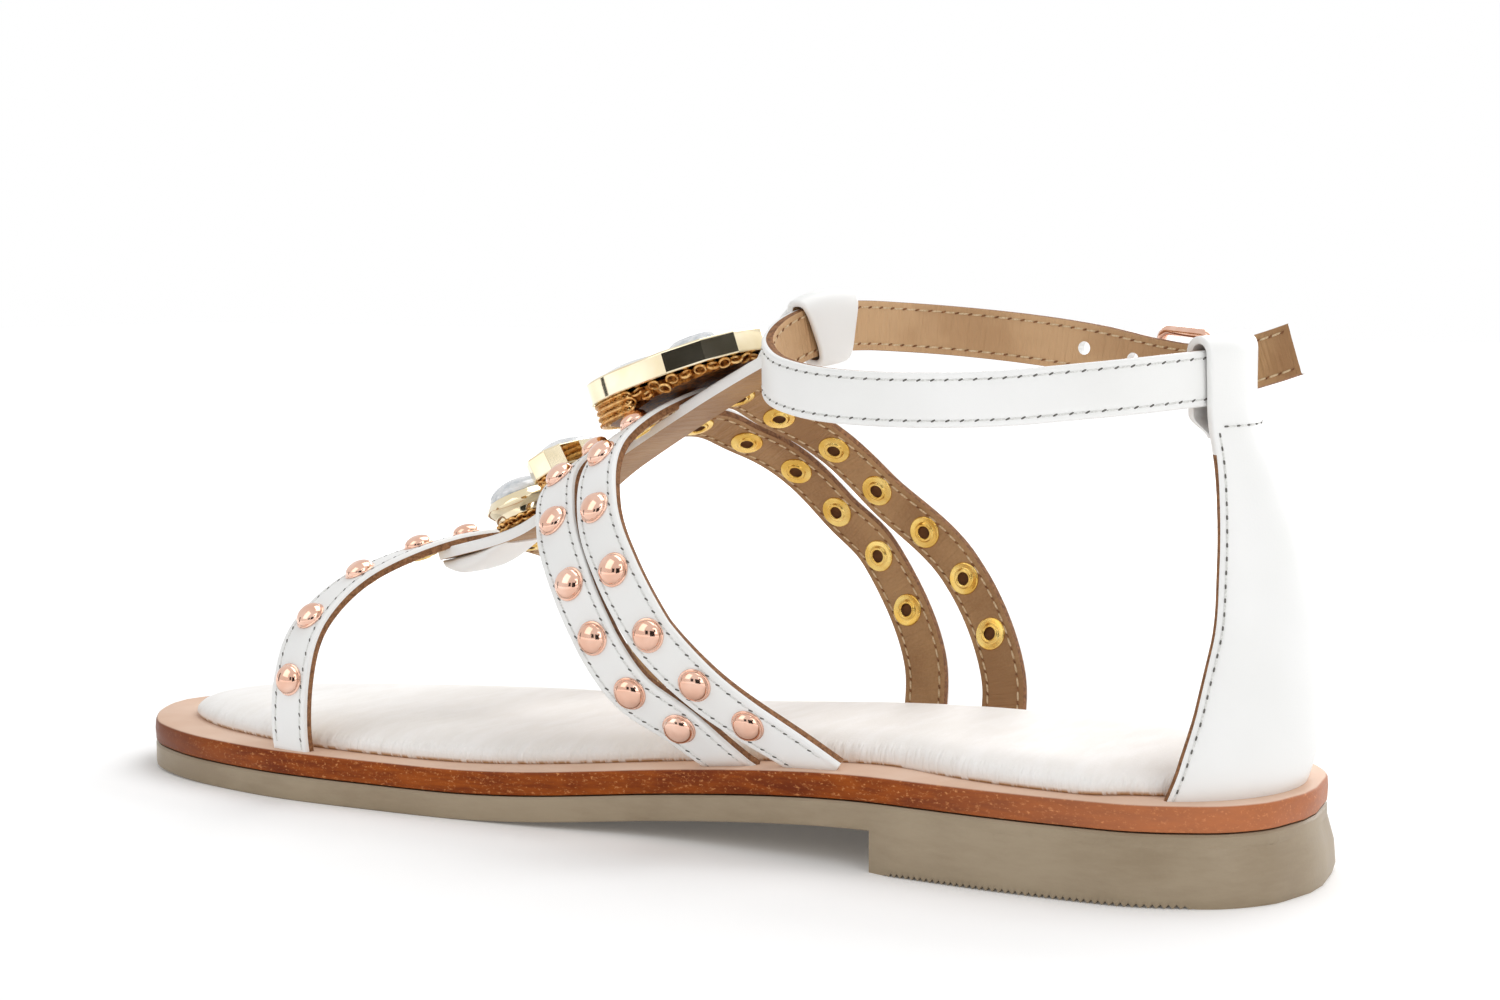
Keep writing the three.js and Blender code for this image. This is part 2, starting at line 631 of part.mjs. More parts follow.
// Stud rows: places along each strap as shares of its length from the sole on that side
const STUD_ROWS = [
  { name: 'toe_medial', route: toeStrap, side: 1, shares: [0.11, 0.2, 0.3, 0.397, 0.485] },
  { name: 'toe_lateral', route: toeStrap, side: -1, shares: [0.11, 0.205, 0.3, 0.395] },
  { name: 'front_medial', route: frontBand, side: 1, shares: [0.07, 0.125, 0.184, 0.24, 0.315, 0.388, 0.44] },
  { name: 'front_lateral', route: frontBand, side: -1, shares: [0.122, 0.187, 0.252, 0.314, 0.38, 0.443] },
  { name: 'rear_medial', route: rearBand, side: 1, shares: [0.077, 0.134, 0.191, 0.255, 0.32, 0.384, 0.436] },
  { name: 'rear_lateral', route: rearBand, side: -1, shares: [0.09, 0.15, 0.21, 0.272, 0.33, 0.397, 0.452] },
];

function studFrames() {
  const studs = [];
  for (const row of STUD_ROWS) {
    row.shares.forEach((share, i) => {
      const distance = row.route.total * (row.side > 0 ? share : 1 - share);
      studs.push({ name: `stud_${row.name}_${i + 1}`, frame: row.route.frameAt(distance) });
    });
  }
  return studs;
}

// Matrix that stands a piece turned about Z on the strap at a frame
function standOn(frame, up) {
  const matrix = new THREE.Matrix4().makeBasis(frame.side, frame.ahead, frame.out);
  matrix.setPosition(frame.point.clone().addScaledVector(frame.out, up));
  return matrix;
}

function lathe(profile, segments) {
  const geometry = new THREE.LatheGeometry(profile.map(([r, z]) => new THREE.Vector2(r, z)), segments);
  geometry.rotateX(Math.PI / 2);
  return geometry;
}

// Stud: domed head outside, shank through the strap, shallow washer on the lining
function studGeometry() {
  const head = STRAP_WALL + STUD_GAP;
  return lathe([
    [0, -STUD_GAP - WASHER_RISE],
    [WASHER_RADIUS, -STUD_GAP],
    [SHANK_RADIUS, -STUD_GAP],
    [SHANK_RADIUS, head],
    [STUD_RADIUS, head],
    [0.86 * STUD_RADIUS, head + 0.52 * STUD_RISE],
    [0, head + STUD_RISE],
  ], STUD_SIDES);
}

// Room that a stud needs in what it passes: a bore and a flat seat on each side
function studRoomGeometry() {
  const flats = 1 / Math.cos(Math.PI / BORE_SIDES);
  const bore = (SHANK_RADIUS + BORE_GAP) * flats;
  const inside = (WASHER_RADIUS + BORE_GAP) * flats;
  const outside = (STUD_RADIUS + BORE_GAP) * flats;
  const low = -SEAT_GAP;
  const high = STRAP_WALL + SEAT_GAP;
  return lathe([
    [0, low - STUD_GAP - 2 * WASHER_RISE],
    [inside, low - STUD_GAP - 2 * WASHER_RISE],
    [inside, low],
    [bore, low],
    [bore, high],
    [outside, high],
    [outside, high + STUD_GAP + STUD_RISE],
    [0, high + STUD_GAP + STUD_RISE],
  ], BORE_SIDES);
}

// Lane along a band, as wide and high as its stud heads, that openwork above it is cut back from
function studLane({ route, side, shares }) {
  const reach = route.total * Math.max(...shares) + STUD_RADIUS + BORE_GAP;
  const distances = Array.from({ length: 9 }, (_, i) => reach * (0.6 + 0.05 * i));
  const frames = distances
    .map((distance) => (side > 0 ? distance : route.total - distance))
    .sort((a, b) => a - b)
    .map((distance) => route.frameAt(distance));
  const height = STRAP_WALL + STUD_GAP + STUD_RISE + GAP;
  return strap(frames, () => 2 * (STUD_RADIUS + 2 * BORE_GAP), height);
}

makeOutsole();
makeMidsole();
makePad();

const studs = studFrames();
const studRoom = joinAll(studs.map(({ frame }) => (
  toSolid(studRoomGeometry().applyMatrix4(standOn(frame, 0))))));
function makeUpper() {
  const cutter = soleCutter();
  const bandWidth = () => BAND_WIDTH;
  const tWidth = (t) => T_BAR_WIDTH + (T_BAR_TIP_WIDTH - T_BAR_WIDTH) * smooth(clamp01((t - 0.75) / 0.25));
  const upper = joinAll([
    strap(extendEnds(toeStrap, 4), () => TOE_STRAP_WIDTH, STRAP_WALL),
    strap(extendEnds(frontBand, 4), bandWidth, STRAP_WALL),
    strap(extendEnds(rearBand, 4), bandWidth, STRAP_WALL),
    strap(tBar.frames, tWidth, STRAP_WALL),
    strap(tFold.frames, () => T_BAR_WIDTH - 1, STRAP_WALL),
    tLoop.outer,
  ]).subtract(tLoop.inner).subtract(cutter).subtract(studRoom);
  place('upper', toGeometry(upper), 'leather');
  for (const { name, frame } of studs) {
    const geometry = studGeometry();
    geometry.applyMatrix4(standOn(frame, 0));
    geometry.deleteAttribute('normal');
    geometry.deleteAttribute('uv');
    place(name, mergeVertices(geometry, 1e-4), 'rose');
  }
}
makeUpper();

// Buckle on the lateral side: the strap runs inside its front bar and outside its rear bar
const buckleAt = ankleDistance(-0.9 * ANKLE_HALF, along(BUCKLE_PLACE));
const UP = new THREE.Vector3(0, 0, 1);
const barReach = GAP + BUCKLE_WIRE / 2;
const frontSeat = ankle.frameAt(buckleAt - BUCKLE_LENGTH / 2);
const rearSeat = ankle.frameAt(buckleAt + BUCKLE_LENGTH / 2);
const frontBar = frontSeat.point.clone().addScaledVector(frontSeat.out, ANKLE_WALL + barReach);
const rearBar = rearSeat.point.clone().addScaledVector(rearSeat.out, -barReach);

function tube(points, wire, sides) {
  const curve = new THREE.CatmullRomCurve3(points);
  const section = new THREE.Shape(
    Array.from({ length: sides }, (_, i) => (
      new THREE.Vector2(Math.cos((2 * Math.PI * i) / sides), Math.sin((2 * Math.PI * i) / sides))
        .multiplyScalar(wire / 2))));
  return new THREE.ExtrudeGeometry(section, { steps: 12, bevelEnabled: false, extrudePath: curve });
}

// The prong leaves the rear bar, comes out through its hole and rests on the front bar
function prongPath() {
  const touch = (BUCKLE_WIRE + PRONG_WIRE) / 2 + GAP;
  const ahead = frontBar.clone().sub(rearBar).normalize();
  const out = frontSeat.out;
  const start = rearBar.clone().addScaledVector(ahead, touch);
  const rest = frontBar.clone().addScaledVector(out, touch);
  return [
    start,
    start.clone().lerp(rest, 0.5).addScaledVector(out, 0.25 * STRAP_WALL),
    rest,
    rest.clone().addScaledVector(ahead, 0.6 * BUCKLE_WIRE),
  ];
}

function makeBuckle() {
  const lengthwise = rearBar.clone().sub(frontBar);
  const reach = lengthwise.length() + BUCKLE_WIRE;
  const ahead = lengthwise.clone().normalize();
  const face = new THREE.Vector3().crossVectors(ahead, UP).normalize();
  const upright = new THREE.Vector3().crossVectors(face, ahead).normalize();
  const high = ANKLE_WIDTH + 2 * (BUCKLE_SLACK + BUCKLE_WIRE);
  const rounded = (length, height, radius) => {
    const points = [];
    for (const [cx, cy, start] of [[1, 1, 0], [-1, 1, 1], [-1, -1, 2], [1, -1, 3]]) {
      for (let k = 0; k <= 3; k++) {
        const angle = (start + k / 3) * (Math.PI / 2);
        points.push(new THREE.Vector2(
          cx * (length / 2 - radius) + radius * Math.cos(angle),
          cy * (height / 2 - radius) + radius * Math.sin(angle)));
      }
    }
    return points;
  };
  const shape = new THREE.Shape(rounded(reach, high, BUCKLE_CORNER));
  const inner = rounded(reach - 2 * BUCKLE_WIRE, high - 2 * BUCKLE_WIRE, BUCKLE_CORNER / 3);
  shape.holes.push(new THREE.Path(inner.reverse()));
  const frame = new THREE.ExtrudeGeometry(shape, {
    depth: BUCKLE_WIRE - 2 * BUCKLE_BEVEL,
    bevelSize: BUCKLE_BEVEL,
    bevelThickness: BUCKLE_BEVEL,
    bevelOffset: -BUCKLE_BEVEL,
    bevelSegments: 1,
  });
  frame.translate(0, 0, BUCKLE_BEVEL - BUCKLE_WIRE / 2);
  const matrix = new THREE.Matrix4().makeBasis(ahead, upright, new THREE.Vector3().crossVectors(ahead, upright));
  matrix.setPosition(frontBar.clone().lerp(rearBar, 0.5));
  frame.applyMatrix4(matrix);
  place('buckle_frame', toGeometry(toSolid(frame)), 'rose');
  place('buckle_prong', toGeometry(toSolid(tube(prongPath(), PRONG_WIRE, 8))), 'rose');
}
makeBuckle();

function makeAnkleStrap() {
  let band = strap(ankle.frames, () => ANKLE_WIDTH, ANKLE_WALL);
  band = band.subtract(toSolid(tube(prongPath(), PRONG_WIRE + 4 * GAP, 8)));
  for (let i = 1; i <= HOLES_AHEAD; i++) {
    const hole = new THREE.CylinderGeometry(HOLE_RADIUS, HOLE_RADIUS, 3 * ANKLE_WALL, 12);
    hole.rotateX(Math.PI / 2);
    hole.applyMatrix4(standOn(ankle.frameAt(buckleAt - i * HOLE_PITCH), ANKLE_WALL / 2));
    band = band.subtract(toSolid(hole));
  }
  place('ankle_strap', toGeometry(band), 'leather');
}
makeAnkleStrap();

// Ornaments: a walled metal setting on openwork, with stones seated in its pockets
const studLanes = joinAll(STUD_ROWS.map(studLane));
function settingOutline(length, width, sides, square) {
  return Array.from({ length: sides }, (_, i) => {
    const angle = (2 * Math.PI * (i + 0.5)) / sides;
    const bend = (value) => Math.sign(value) * Math.pow(Math.abs(value), square);
    return new THREE.Vector2((width / 2) * bend(Math.cos(angle)), (length / 2) * bend(Math.sin(angle)));
  });
}

function prism(points, from, to) {
  const ring = (z) => points.map((p) => new THREE.Vector3(p.x, p.y, z));
  return toSolid(loft([ring(from), ring(to)]));
}

function makeOrnament(row) {
  const tilt = THREE.MathUtils.degToRad(row.tilt);
  const crest = lastPoint(row.at, 90);
  const seat = crest.addScaledVector(lastNormal(row.at, 90), row.rise * STRAP_WALL);
  const matrix = new THREE.Matrix4().makeRotationX(tilt).setPosition(seat);
  const put = (name, solid, finish) => {
    const geometry = toGeometry(solid);
    geometry.applyMatrix4(matrix);
    place(name, geometry, finish);
  };
  const outer = settingOutline(row.length, row.width, row.sides, row.square);
  let setting = prism(outer, 0, SETTING_RISE);
  for (const stone of STONES.filter((entry) => entry.setting === row.name)) {
    const long = stone.length * (row.length - 2 * SETTING_WALL);
    const wide = stone.width * (row.width - 2 * SETTING_WALL);
    const centre = new THREE.Vector2(
      (stone.across * row.width) / 2, (stone.along * row.length) / 2);
    const cut = (inset) => settingOutline(long - 2 * inset, wide - 2 * inset, 12, row.square)
      .map((p) => p.add(centre));
    const floor = SETTING_RISE - POCKET_DEPTH;
    setting = setting.subtract(prism(cut(0), floor, SETTING_RISE + 1));
    const ring = (inset, z) => cut(inset).map((p) => new THREE.Vector3(p.x, p.y, z));
    const crown = SETTING_RISE + stone.dome * CROWN_RISE;
    const shoulder = Math.min(long, wide) / 2;
    put(stone.name, toSolid(loft([
      ring(GAP + 0.1 * shoulder, floor + GAP),
      ring(GAP, SETTING_RISE - 0.2 * POCKET_DEPTH),
      ring(GAP + 0.12 * shoulder, SETTING_RISE + 0.45 * (crown - SETTING_RISE)),
      ring(GAP + 0.35 * shoulder, SETTING_RISE + 0.85 * (crown - SETTING_RISE)),
      ring(GAP + 0.6 * shoulder, crown),
    ])), 'stone');
  }
  put(`setting_${row.name}`, setting, 'gold');
  const inner = settingOutline(
    row.length - 2 * FRETWORK_INSET, row.width - 2 * FRETWORK_INSET, row.sides, row.square);
  const drop = (p) => {
    const share = p.y / row.length + 0.5;
    return -GAP - STRAP_WALL * (row.fret[0] + (row.fret[1] - row.fret[0]) * share);
  };
  const fretwork = toSolid(loft([
    inner.map((p) => new THREE.Vector3(p.x, p.y, drop(p))),
    inner.map((p) => new THREE.Vector3(p.x, p.y, -GAP)),
  ]));
  const openwork = fretwork.transform(matrix.elements).subtract(studLanes);
  place(`fretwork_${row.name}`, toGeometry(openwork), 'mesh');
}
ORNAMENTS.forEach(makeOrnament);

function makeCounter() {
  const half = column(COUNTER_SECTIONS, 'half', 'rise');
  const radius = column(COUNTER_SECTIONS, 'radius', 'rise');
  const back = column(COUNTER_SECTIONS, 'back', 'rise');
  const heel = ankle.frameAt(heelLoopAt).point.z;
  const foot = midsoleTop(1);
  const rings = [];
  const steps = 12;
  for (let i = 0; i <= steps; i++) {
    const rise = i / steps;
    const r = radius(rise) * COUNTER_HALF;
    const centre = along(back(rise)) - r;
    const spread = Math.asin(Math.min(0.95, (half(rise) * COUNTER_HALF) / r));
    const z = foot - 3 + (heel - foot + 3) * rise;
    const arc = (size, from, to) => {
      const points = [];
      for (let k = 0; k <= 10; k++) {
        const angle = from + ((to - from) * k) / 10;
        points.push(new THREE.Vector3(size * Math.sin(angle), centre + size * Math.cos(angle), z));
      }
      return points;
    };
    rings.push([...arc(r, spread, -spread), ...arc(r - COUNTER_WALL, -spread, spread)]);
  }
  let counter = toSolid(loft(rings));
  counter = counter.add(heelLoop.outer).subtract(heelLoop.inner).subtract(soleCutter());
  place('heel_counter', toGeometry(counter), 'leather');
}
makeCounter();

const bounds = new THREE.Box3().setFromObject(sandal);
sandal.position.set(-(bounds.min.x + bounds.max.x) / 2, -(bounds.min.y + bounds.max.y) / 2, -bounds.min.z);

export default sandal;
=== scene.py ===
import json
import math
import bpy
from mathutils import Matrix, Vector

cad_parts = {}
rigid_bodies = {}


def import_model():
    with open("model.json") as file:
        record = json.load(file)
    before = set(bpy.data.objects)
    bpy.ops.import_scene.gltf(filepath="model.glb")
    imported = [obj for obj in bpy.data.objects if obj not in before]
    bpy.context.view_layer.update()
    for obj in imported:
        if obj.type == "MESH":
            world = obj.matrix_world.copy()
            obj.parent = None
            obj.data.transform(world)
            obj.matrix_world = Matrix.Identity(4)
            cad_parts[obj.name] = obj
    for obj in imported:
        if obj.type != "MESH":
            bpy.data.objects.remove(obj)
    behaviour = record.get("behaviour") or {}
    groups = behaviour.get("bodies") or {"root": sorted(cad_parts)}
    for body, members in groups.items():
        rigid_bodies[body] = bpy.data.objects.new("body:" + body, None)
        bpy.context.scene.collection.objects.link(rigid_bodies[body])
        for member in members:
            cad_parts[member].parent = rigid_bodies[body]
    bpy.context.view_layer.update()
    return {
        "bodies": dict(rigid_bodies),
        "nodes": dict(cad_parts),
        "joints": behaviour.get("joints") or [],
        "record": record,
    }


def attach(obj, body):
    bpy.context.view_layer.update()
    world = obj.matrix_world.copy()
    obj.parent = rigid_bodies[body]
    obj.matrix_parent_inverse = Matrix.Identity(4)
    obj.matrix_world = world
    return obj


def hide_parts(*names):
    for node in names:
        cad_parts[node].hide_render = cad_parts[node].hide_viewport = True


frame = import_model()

# Outsole: a moulded rubber sheet under the whole foot that thickens into a low heel block.
# Grey-beige, slightly translucent rubber with a satin side and a fine cross tread under the
# heel. It is glued under the midsole.
SHIFT = Vector((2.734, -0.746, 0.0))
SOLE_LENGTH = 250.0
BALL_MEDIAL = 37.3
BALL_LATERAL = 43.6
RUBBER = 5.1
HEEL_RISE = 7.15
TOE_SPRING = 0.9
HEEL_LENGTH = 68.4
HEEL_FLARE = 1.5
TREAD_PITCH = 1.15
TREAD_DEPTH = 0.75
FOOT_LEVEL = 1.5
WAIST_LEVEL = 5.5
TOE_ROUND = 0.02
SOLE_OUTLINE = [
    # share of the length, medial and lateral half widths as shares of the ball's
    (0.0, 0.215, -0.145),
    (0.02, 0.547, 0.124),
    (0.06, 0.791, 0.362),
    (0.13, 0.936, 0.619),
    (0.22, 1.0, 0.851),
    (0.32, 0.96, 1.0),
    (0.43, 0.877, 1.0),
    (0.55, 0.772, 0.872),
    (0.67, 0.791, 0.755),
    (0.8, 0.804, 0.702),
    (0.9, 0.761, 0.658),
    (0.96, 0.6, 0.54),
    (0.99, 0.37, 0.33),
    (1.0, 0.1, 0.05),
]


def clamp01(value):
    return min(1.0, max(0.0, value))


def ease(value):
    share = clamp01(value)
    return share * share * (3 - 2 * share)


def column(rows, index):
    """Smooth curve through one column of a table, never past its rows."""
    places = [row[0] for row in rows]
    values = [row[index] for row in rows]
    slopes = [(values[i + 1] - values[i]) / (places[i + 1] - places[i]) for i in range(len(rows) - 1)]
    tangents = [slopes[0]]
    for before, after in zip(slopes, slopes[1:]):
        product = before * after
        tangents.append(2 * product / (before + after) if product > 0 else 0.0)
    tangents.append(slopes[-1])

    def at(place):
        x = min(places[-1], max(places[0], place))
        i = 0
        while i < len(rows) - 2 and x > places[i + 1]:
            i += 1
        span = places[i + 1] - places[i]
        t = (x - places[i]) / span
        rise = values[i + 1] - values[i]
        start = tangents[i] * span
        end = tangents[i + 1] * span
        return (values[i] + t * start + t * t * (3 * rise - 2 * start - end)
                + t * t * t * (start + end - 2 * rise))

    return at


def spot(x, y, z):
    """A point of the sandal in millimetres, as Blender's metres in the shared frame."""
    return (Vector((x, y, z)) + SHIFT) * 0.001


def along(at):
    return (at - 0.5) * SOLE_LENGTH


def underside(at):
    spring = TOE_SPRING * clamp01((0.16 - at) / 0.16) ** 1.8
    return spring + HEEL_RISE * ease((at - 0.36) / 0.38)


sole_medial = column(SOLE_OUTLINE, 1)
sole_lateral = column(SOLE_OUTLINE, 2)
toe_middle = (SOLE_OUTLINE[0][1] * BALL_MEDIAL - SOLE_OUTLINE[0][2] * BALL_LATERAL) / 2


def sole_edge(at, side):
    """Distance of the sole's edge from the middle line, drawn round at the tip of the toe."""
    place = max(at, TOE_ROUND)
    full = sole_medial(place) * BALL_MEDIAL if side > 0 else -sole_lateral(place) * BALL_LATERAL
    return toe_middle + (full - toe_middle) * min(1.0, at / TOE_ROUND) ** 0.55


def outline(start, end, steps, margin, even=0.35):
    """Closed plan ring (share, x, y) between two places, medial side first."""
    shares = []
    for i in range(steps + 1):
        t = i / steps
        turned = even * t + (1 - even) * (0.5 - 0.5 * math.cos(math.pi * t))
        shares.append(start + (end - start) * turned)
    ring = [(at, 1, sole_edge(at, 1), along(at)) for at in shares]
    ring += [(at, -1, sole_edge(at, -1), along(at)) for at in reversed(shares)]
    moved = []
    for i, (at, side, x, y) in enumerate(ring):
        before = ring[i - 1]
        after = ring[(i + 1) % len(ring)]
        run = math.hypot(after[2] - before[2], after[3] - before[3])
        inset = margin(at, side)
        moved.append((at, x - (after[3] - before[3]) / run * inset,
                      y + (after[2] - before[2]) / run * inset))
    return moved


def deselect():
    if bpy.context.object and bpy.context.object.mode != "OBJECT":
        bpy.ops.object.mode_set(mode="OBJECT")
    bpy.ops.object.select_all(action="DESELECT")


def choose(piece):
    deselect()
    bpy.context.view_layer.objects.active = piece
    piece.select_set(True)


def laid_grid(name, columns, rows, where, finish_at=None, pattern_at=None):
    """A grid primitive whose points are laid one by one: where(u, v) gives each one's place."""
    deselect()
    bpy.ops.mesh.primitive_grid_add(x_subdivisions=columns, y_subdivisions=rows, size=1)
    piece = bpy.context.object
    piece.name = name
    piece.data.name = name
    mesh = piece.data
    if pattern_at:
        for loop, uv in zip(mesh.loops, mesh.uv_layers.active.data):
            co = mesh.vertices[loop.vertex_index].co
            uv.uv = pattern_at(co.x + 0.5, co.y + 0.5)
    if finish_at:
        for face in mesh.polygons:
            face.material_index = finish_at(face.center.x + 0.5, face.center.y + 0.5)
    for vertex in mesh.vertices:
        vertex.co = where(vertex.co.x + 0.5, vertex.co.y + 0.5)
    return piece


def close_up(piece):
    """Join a form's seam and poles, fill its open ends and turn its faces outward."""
    choose(piece)
    bpy.ops.object.mode_set(mode="EDIT")
    bpy.ops.mesh.select_all(action="SELECT")
    bpy.ops.mesh.remove_doubles(threshold=2e-6)
    bpy.ops.mesh.select_all(action="SELECT")
    bpy.ops.mesh.dissolve_degenerate(threshold=1e-6)
    bpy.ops.mesh.select_all(action="SELECT")
    bpy.ops.mesh.fill_holes(sides=0)
    bpy.ops.mesh.select_all(action="SELECT")
    bpy.ops.mesh.normals_make_consistent(inside=False)
    bpy.ops.object.mode_set(mode="OBJECT")


def modify(piece, kind, **settings):
    """Add one modifier with its settings and apply it."""
    choose(piece)
    modifier = piece.modifiers.new(kind.lower(), kind)
    for key, value in settings.items():
        setattr(modifier, key, value)
    bpy.ops.object.modifier_apply(modifier=modifier.name)


def smooth(piece, angle=35):
    choose(piece)
    bpy.ops.object.shade_smooth_by_angle(angle=math.radians(angle))


def rings_piece(name, rings):
    """Closed solid from plan rings, lowest first, closed across by ladders at both ends."""
    def spine(ring):
        back = list(reversed(ring))
        return [tuple((a + b) / 2 for a, b in zip(p, q)) for p, q in zip(ring, back)]

    rings = [spine(rings[0])] + rings + [spine(rings[-1])]
    count = len(rings[0])

    def where(u, v):
        ring = rings[round(v * (len(rings) - 1))]
        return spot(*ring[round(u * count) % count])

    piece = laid_grid(name, count, len(rings) - 1, where)
    close_up(piece)
    return piece


class Wire:
    """A node socket's output that can be used in arithmetic."""

    def __init__(self, tree, socket=None):
        self.tree = tree
        self.socket = socket

    def node(self, kind, settings=None, sockets=None, out=0):
        """Any node: its type, its settings, and the values or links of its sockets."""
        made = self.tree.nodes.new(kind)
        for key, value in (settings or {}).items():
            setattr(made, key, value)
        for key, value in (sockets or {}).items():
            socket = made.inputs[key]
            if isinstance(value, Wire):
                self.tree.links.new(value.socket, socket)
            else:
                socket.default_value = value
        return Wire(self.tree, made.outputs[out])

    def maths(self, operation, *values):
        return self.node("ShaderNodeMath", {"operation": operation}, dict(enumerate(values)))

    def __add__(self, other):
        return self.maths("ADD", self, other)

    def __radd__(self, other):
        return self.maths("ADD", other, self)

    def __sub__(self, other):
        return self.maths("SUBTRACT", self, other)

    def __rsub__(self, other):
        return self.maths("SUBTRACT", other, self)

    def __mul__(self, other):
        return self.maths("MULTIPLY", self, other)

    def __rmul__(self, other):
        return self.maths("MULTIPLY", other, self)

    def axis(self, kind, out, index):
        """One axis, 0 to 2, of an input node's vector."""
        return self.node("ShaderNodeSeparateXYZ", {}, {0: self.node(kind, out=out)}, out=index)

    def between(self, low, high):
        """0 below low, 1 above high, smooth in the middle."""
        return self.node("ShaderNodeMapRange", {"interpolation_type": "SMOOTHSTEP"},
                         {"Value": self, "From Min": low, "From Max": high})

    def blend(self, one, two):
        """Colour one where this is 0, colour two where it is 1."""
        return self.node("ShaderNodeMix", {"data_type": "RGBA"}, {0: self, 6: one, 7: two}, out=2)

    def noise(self, scale, detail=2.0, roughness=0.5, vector=None, stretch=None):
        place = vector or self.node("ShaderNodeTexCoord", out=3)
        if stretch:
            place = self.node("ShaderNodeVectorMath", {"operation": "MULTIPLY"}, {0: place, 1: stretch})
        return self.node("ShaderNodeTexNoise", {},
                         {"Vector": place, "Scale": scale, "Detail": detail, "Roughness": roughness})

    def bump(self, strength, distance, normal=None):
        sockets = {"Strength": strength, "Distance": distance, "Height": self}
        if normal:
            sockets["Normal"] = normal
        return self.node("ShaderNodeBump", {}, sockets)


def material(name, **constants):
    """A new material, a wire in its tree and a way to feed its shader's sockets."""
    made = bpy.data.materials.new(name)
    made.use_nodes = True
    shader = made.node_tree.nodes["Principled BSDF"]
    for key, value in constants.items():
        shader.inputs[key.replace("_", " ")].default_value = value
    wire = Wire(made.node_tree)

    def feed(**links):
        for key, value in links.items():
            made.node_tree.links.new(value.socket, shader.inputs[key.replace("_", " ")])

    return made, wire, feed


def colour(red, green, blue):
    """A colour as seen on the screen, 0 to 255, for a shader's socket."""
    def linear(value):
        share = value / 255
        return share / 12.92 if share <= 0.04045 else ((share + 0.055) / 1.055) ** 2.4
    return (linear(red), linear(green), linear(blue), 1.0)


def breast_block():
    breast = 1 - HEEL_LENGTH / SOLE_LENGTH

    def spread(at, side):
        return -HEEL_FLARE * clamp01((at - breast) / 0.02)

    steps = int(HEEL_LENGTH / TREAD_PITCH * 2)
    count = 2 * (steps + 1)
    flat = along(breast)

    def tread(i, at):
        groove = TREAD_DEPTH if i % 2 else 0.0
        fade = ease((at - breast - 0.012) / 0.01) * (1 - ease((at - 0.945) / 0.01))
        return groove * fade

    def row(flare, height):
        ring = outline(breast, 1, steps, lambda at, side: flare * spread(at, side), even=0.95)
        return [(x, flat if at < breast + 1e-6 else y, height(i, at)) for i, (at, x, y) in enumerate(ring)]

    def mirrored(i):
        return i if i < count / 2 else count - 1 - i

    return rings_piece("heel_block", [
        row(0.72, lambda i, at: tread(mirrored(i), at)),
        row(1.0, lambda i, at: FOOT_LEVEL),
        row(0.78, lambda i, at: WAIST_LEVEL),
        row(0.0, lambda i, at: underside(at) + RUBBER / 2),
    ])


def sole_sheet():
    def ring(inset, height):
        return [(x, y, height(at)) for at, x, y in outline(0, 1, 110, lambda at, side: inset)]

    return rings_piece("outsole_sheet", [
        ring(0.45, underside),
        ring(0.1, lambda at: underside(at) + 0.25),
        ring(0.0, lambda at: underside(at) + 0.7),
        ring(0.0, lambda at: underside(at) + RUBBER - 0.75),
        ring(0.35, lambda at: underside(at) + RUBBER - 0.3),
    ])


sole = sole_sheet()
block = breast_block()
modify(sole, "BOOLEAN", operation="UNION", object=block, solver="EXACT")
bpy.data.objects.remove(block)
sole.name = "rubber_outsole"
smooth(sole, 30)

rubber, wire, feed = material("outsole rubber", IOR=1.45, Coat_Weight=0.12, Coat_Roughness=0.35)
cloud = wire.noise(38.0, 3.0)
scuffs = wire.noise(420.0, 4.0, 0.7, stretch=(0.35, 0.35, 1.6))
deep = (cloud * 0.7 + scuffs * 0.3).between(0.35, 0.68)
feed(
    Base_Color=deep.blend(colour(146, 128, 103), colour(164, 147, 122)),
    Roughness=0.34 + scuffs * 0.22,
    Normal=(scuffs * 0.6 + wire.noise(1500.0, 2.0) * 0.4).bump(0.35, 0.00025),
)
sole.data.materials.append(rubber)
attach(sole, "root")
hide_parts("outsole")

# Midsole: stacked board between the rubber and the pad. Its top is pale pinkish tan and shows as
# a rim; its edge is cut, sanded and burnished to a speckled red-brown.
MIDSOLE = 4.6


def midsole_top(at):
    return underside(at) + RUBBER + MIDSOLE


def midsole_ring(inset, drop):
    return [(x, y, midsole_top(at) - drop) for at, x, y in outline(0, 1, 110, lambda at, side: inset)]


midsole = rings_piece("board_midsole", [
    midsole_ring(0.25, MIDSOLE - 0.02),
    midsole_ring(0.0, MIDSOLE - 0.35),
    midsole_ring(-0.12, MIDSOLE * 0.5),
    midsole_ring(0.0, 0.75),
    midsole_ring(0.22, 0.25),
    midsole_ring(0.65, 0.0),
])
smooth(midsole, 40)
board, wire, feed = material("midsole board", IOR=1.2, Coat_Roughness=0.3)
facing = wire.axis("ShaderNodeNewGeometry", 1, 2)
top = facing.between(0.55, 0.85)
streaks = wire.noise(260.0, 5.0, 0.65, stretch=(1.0, 0.35, 2.6))
specks = wire.noise(1500.0, 3.0, 0.7, stretch=(1.0, 0.7, 1.3))
mottle = wire.noise(60.0, 3.0)
edge = (streaks * 0.6 + mottle * 0.4).between(0.36, 0.66).blend(colour(112, 43, 4), colour(160, 78, 18))
edge = specks.between(0.54, 0.74).blend(edge, colour(208, 138, 84))
# The edge is made lighter towards the heel and darker over the toe.
heelward = wire.axis("ShaderNodeTexCoord", 3, 1)
edge = (heelward.between(0.05, 0.115) * 0.55).blend(edge, colour(208, 136, 96))
edge = (1 - heelward.between(-0.12, -0.07)).blend(edge, colour(118, 60, 28))
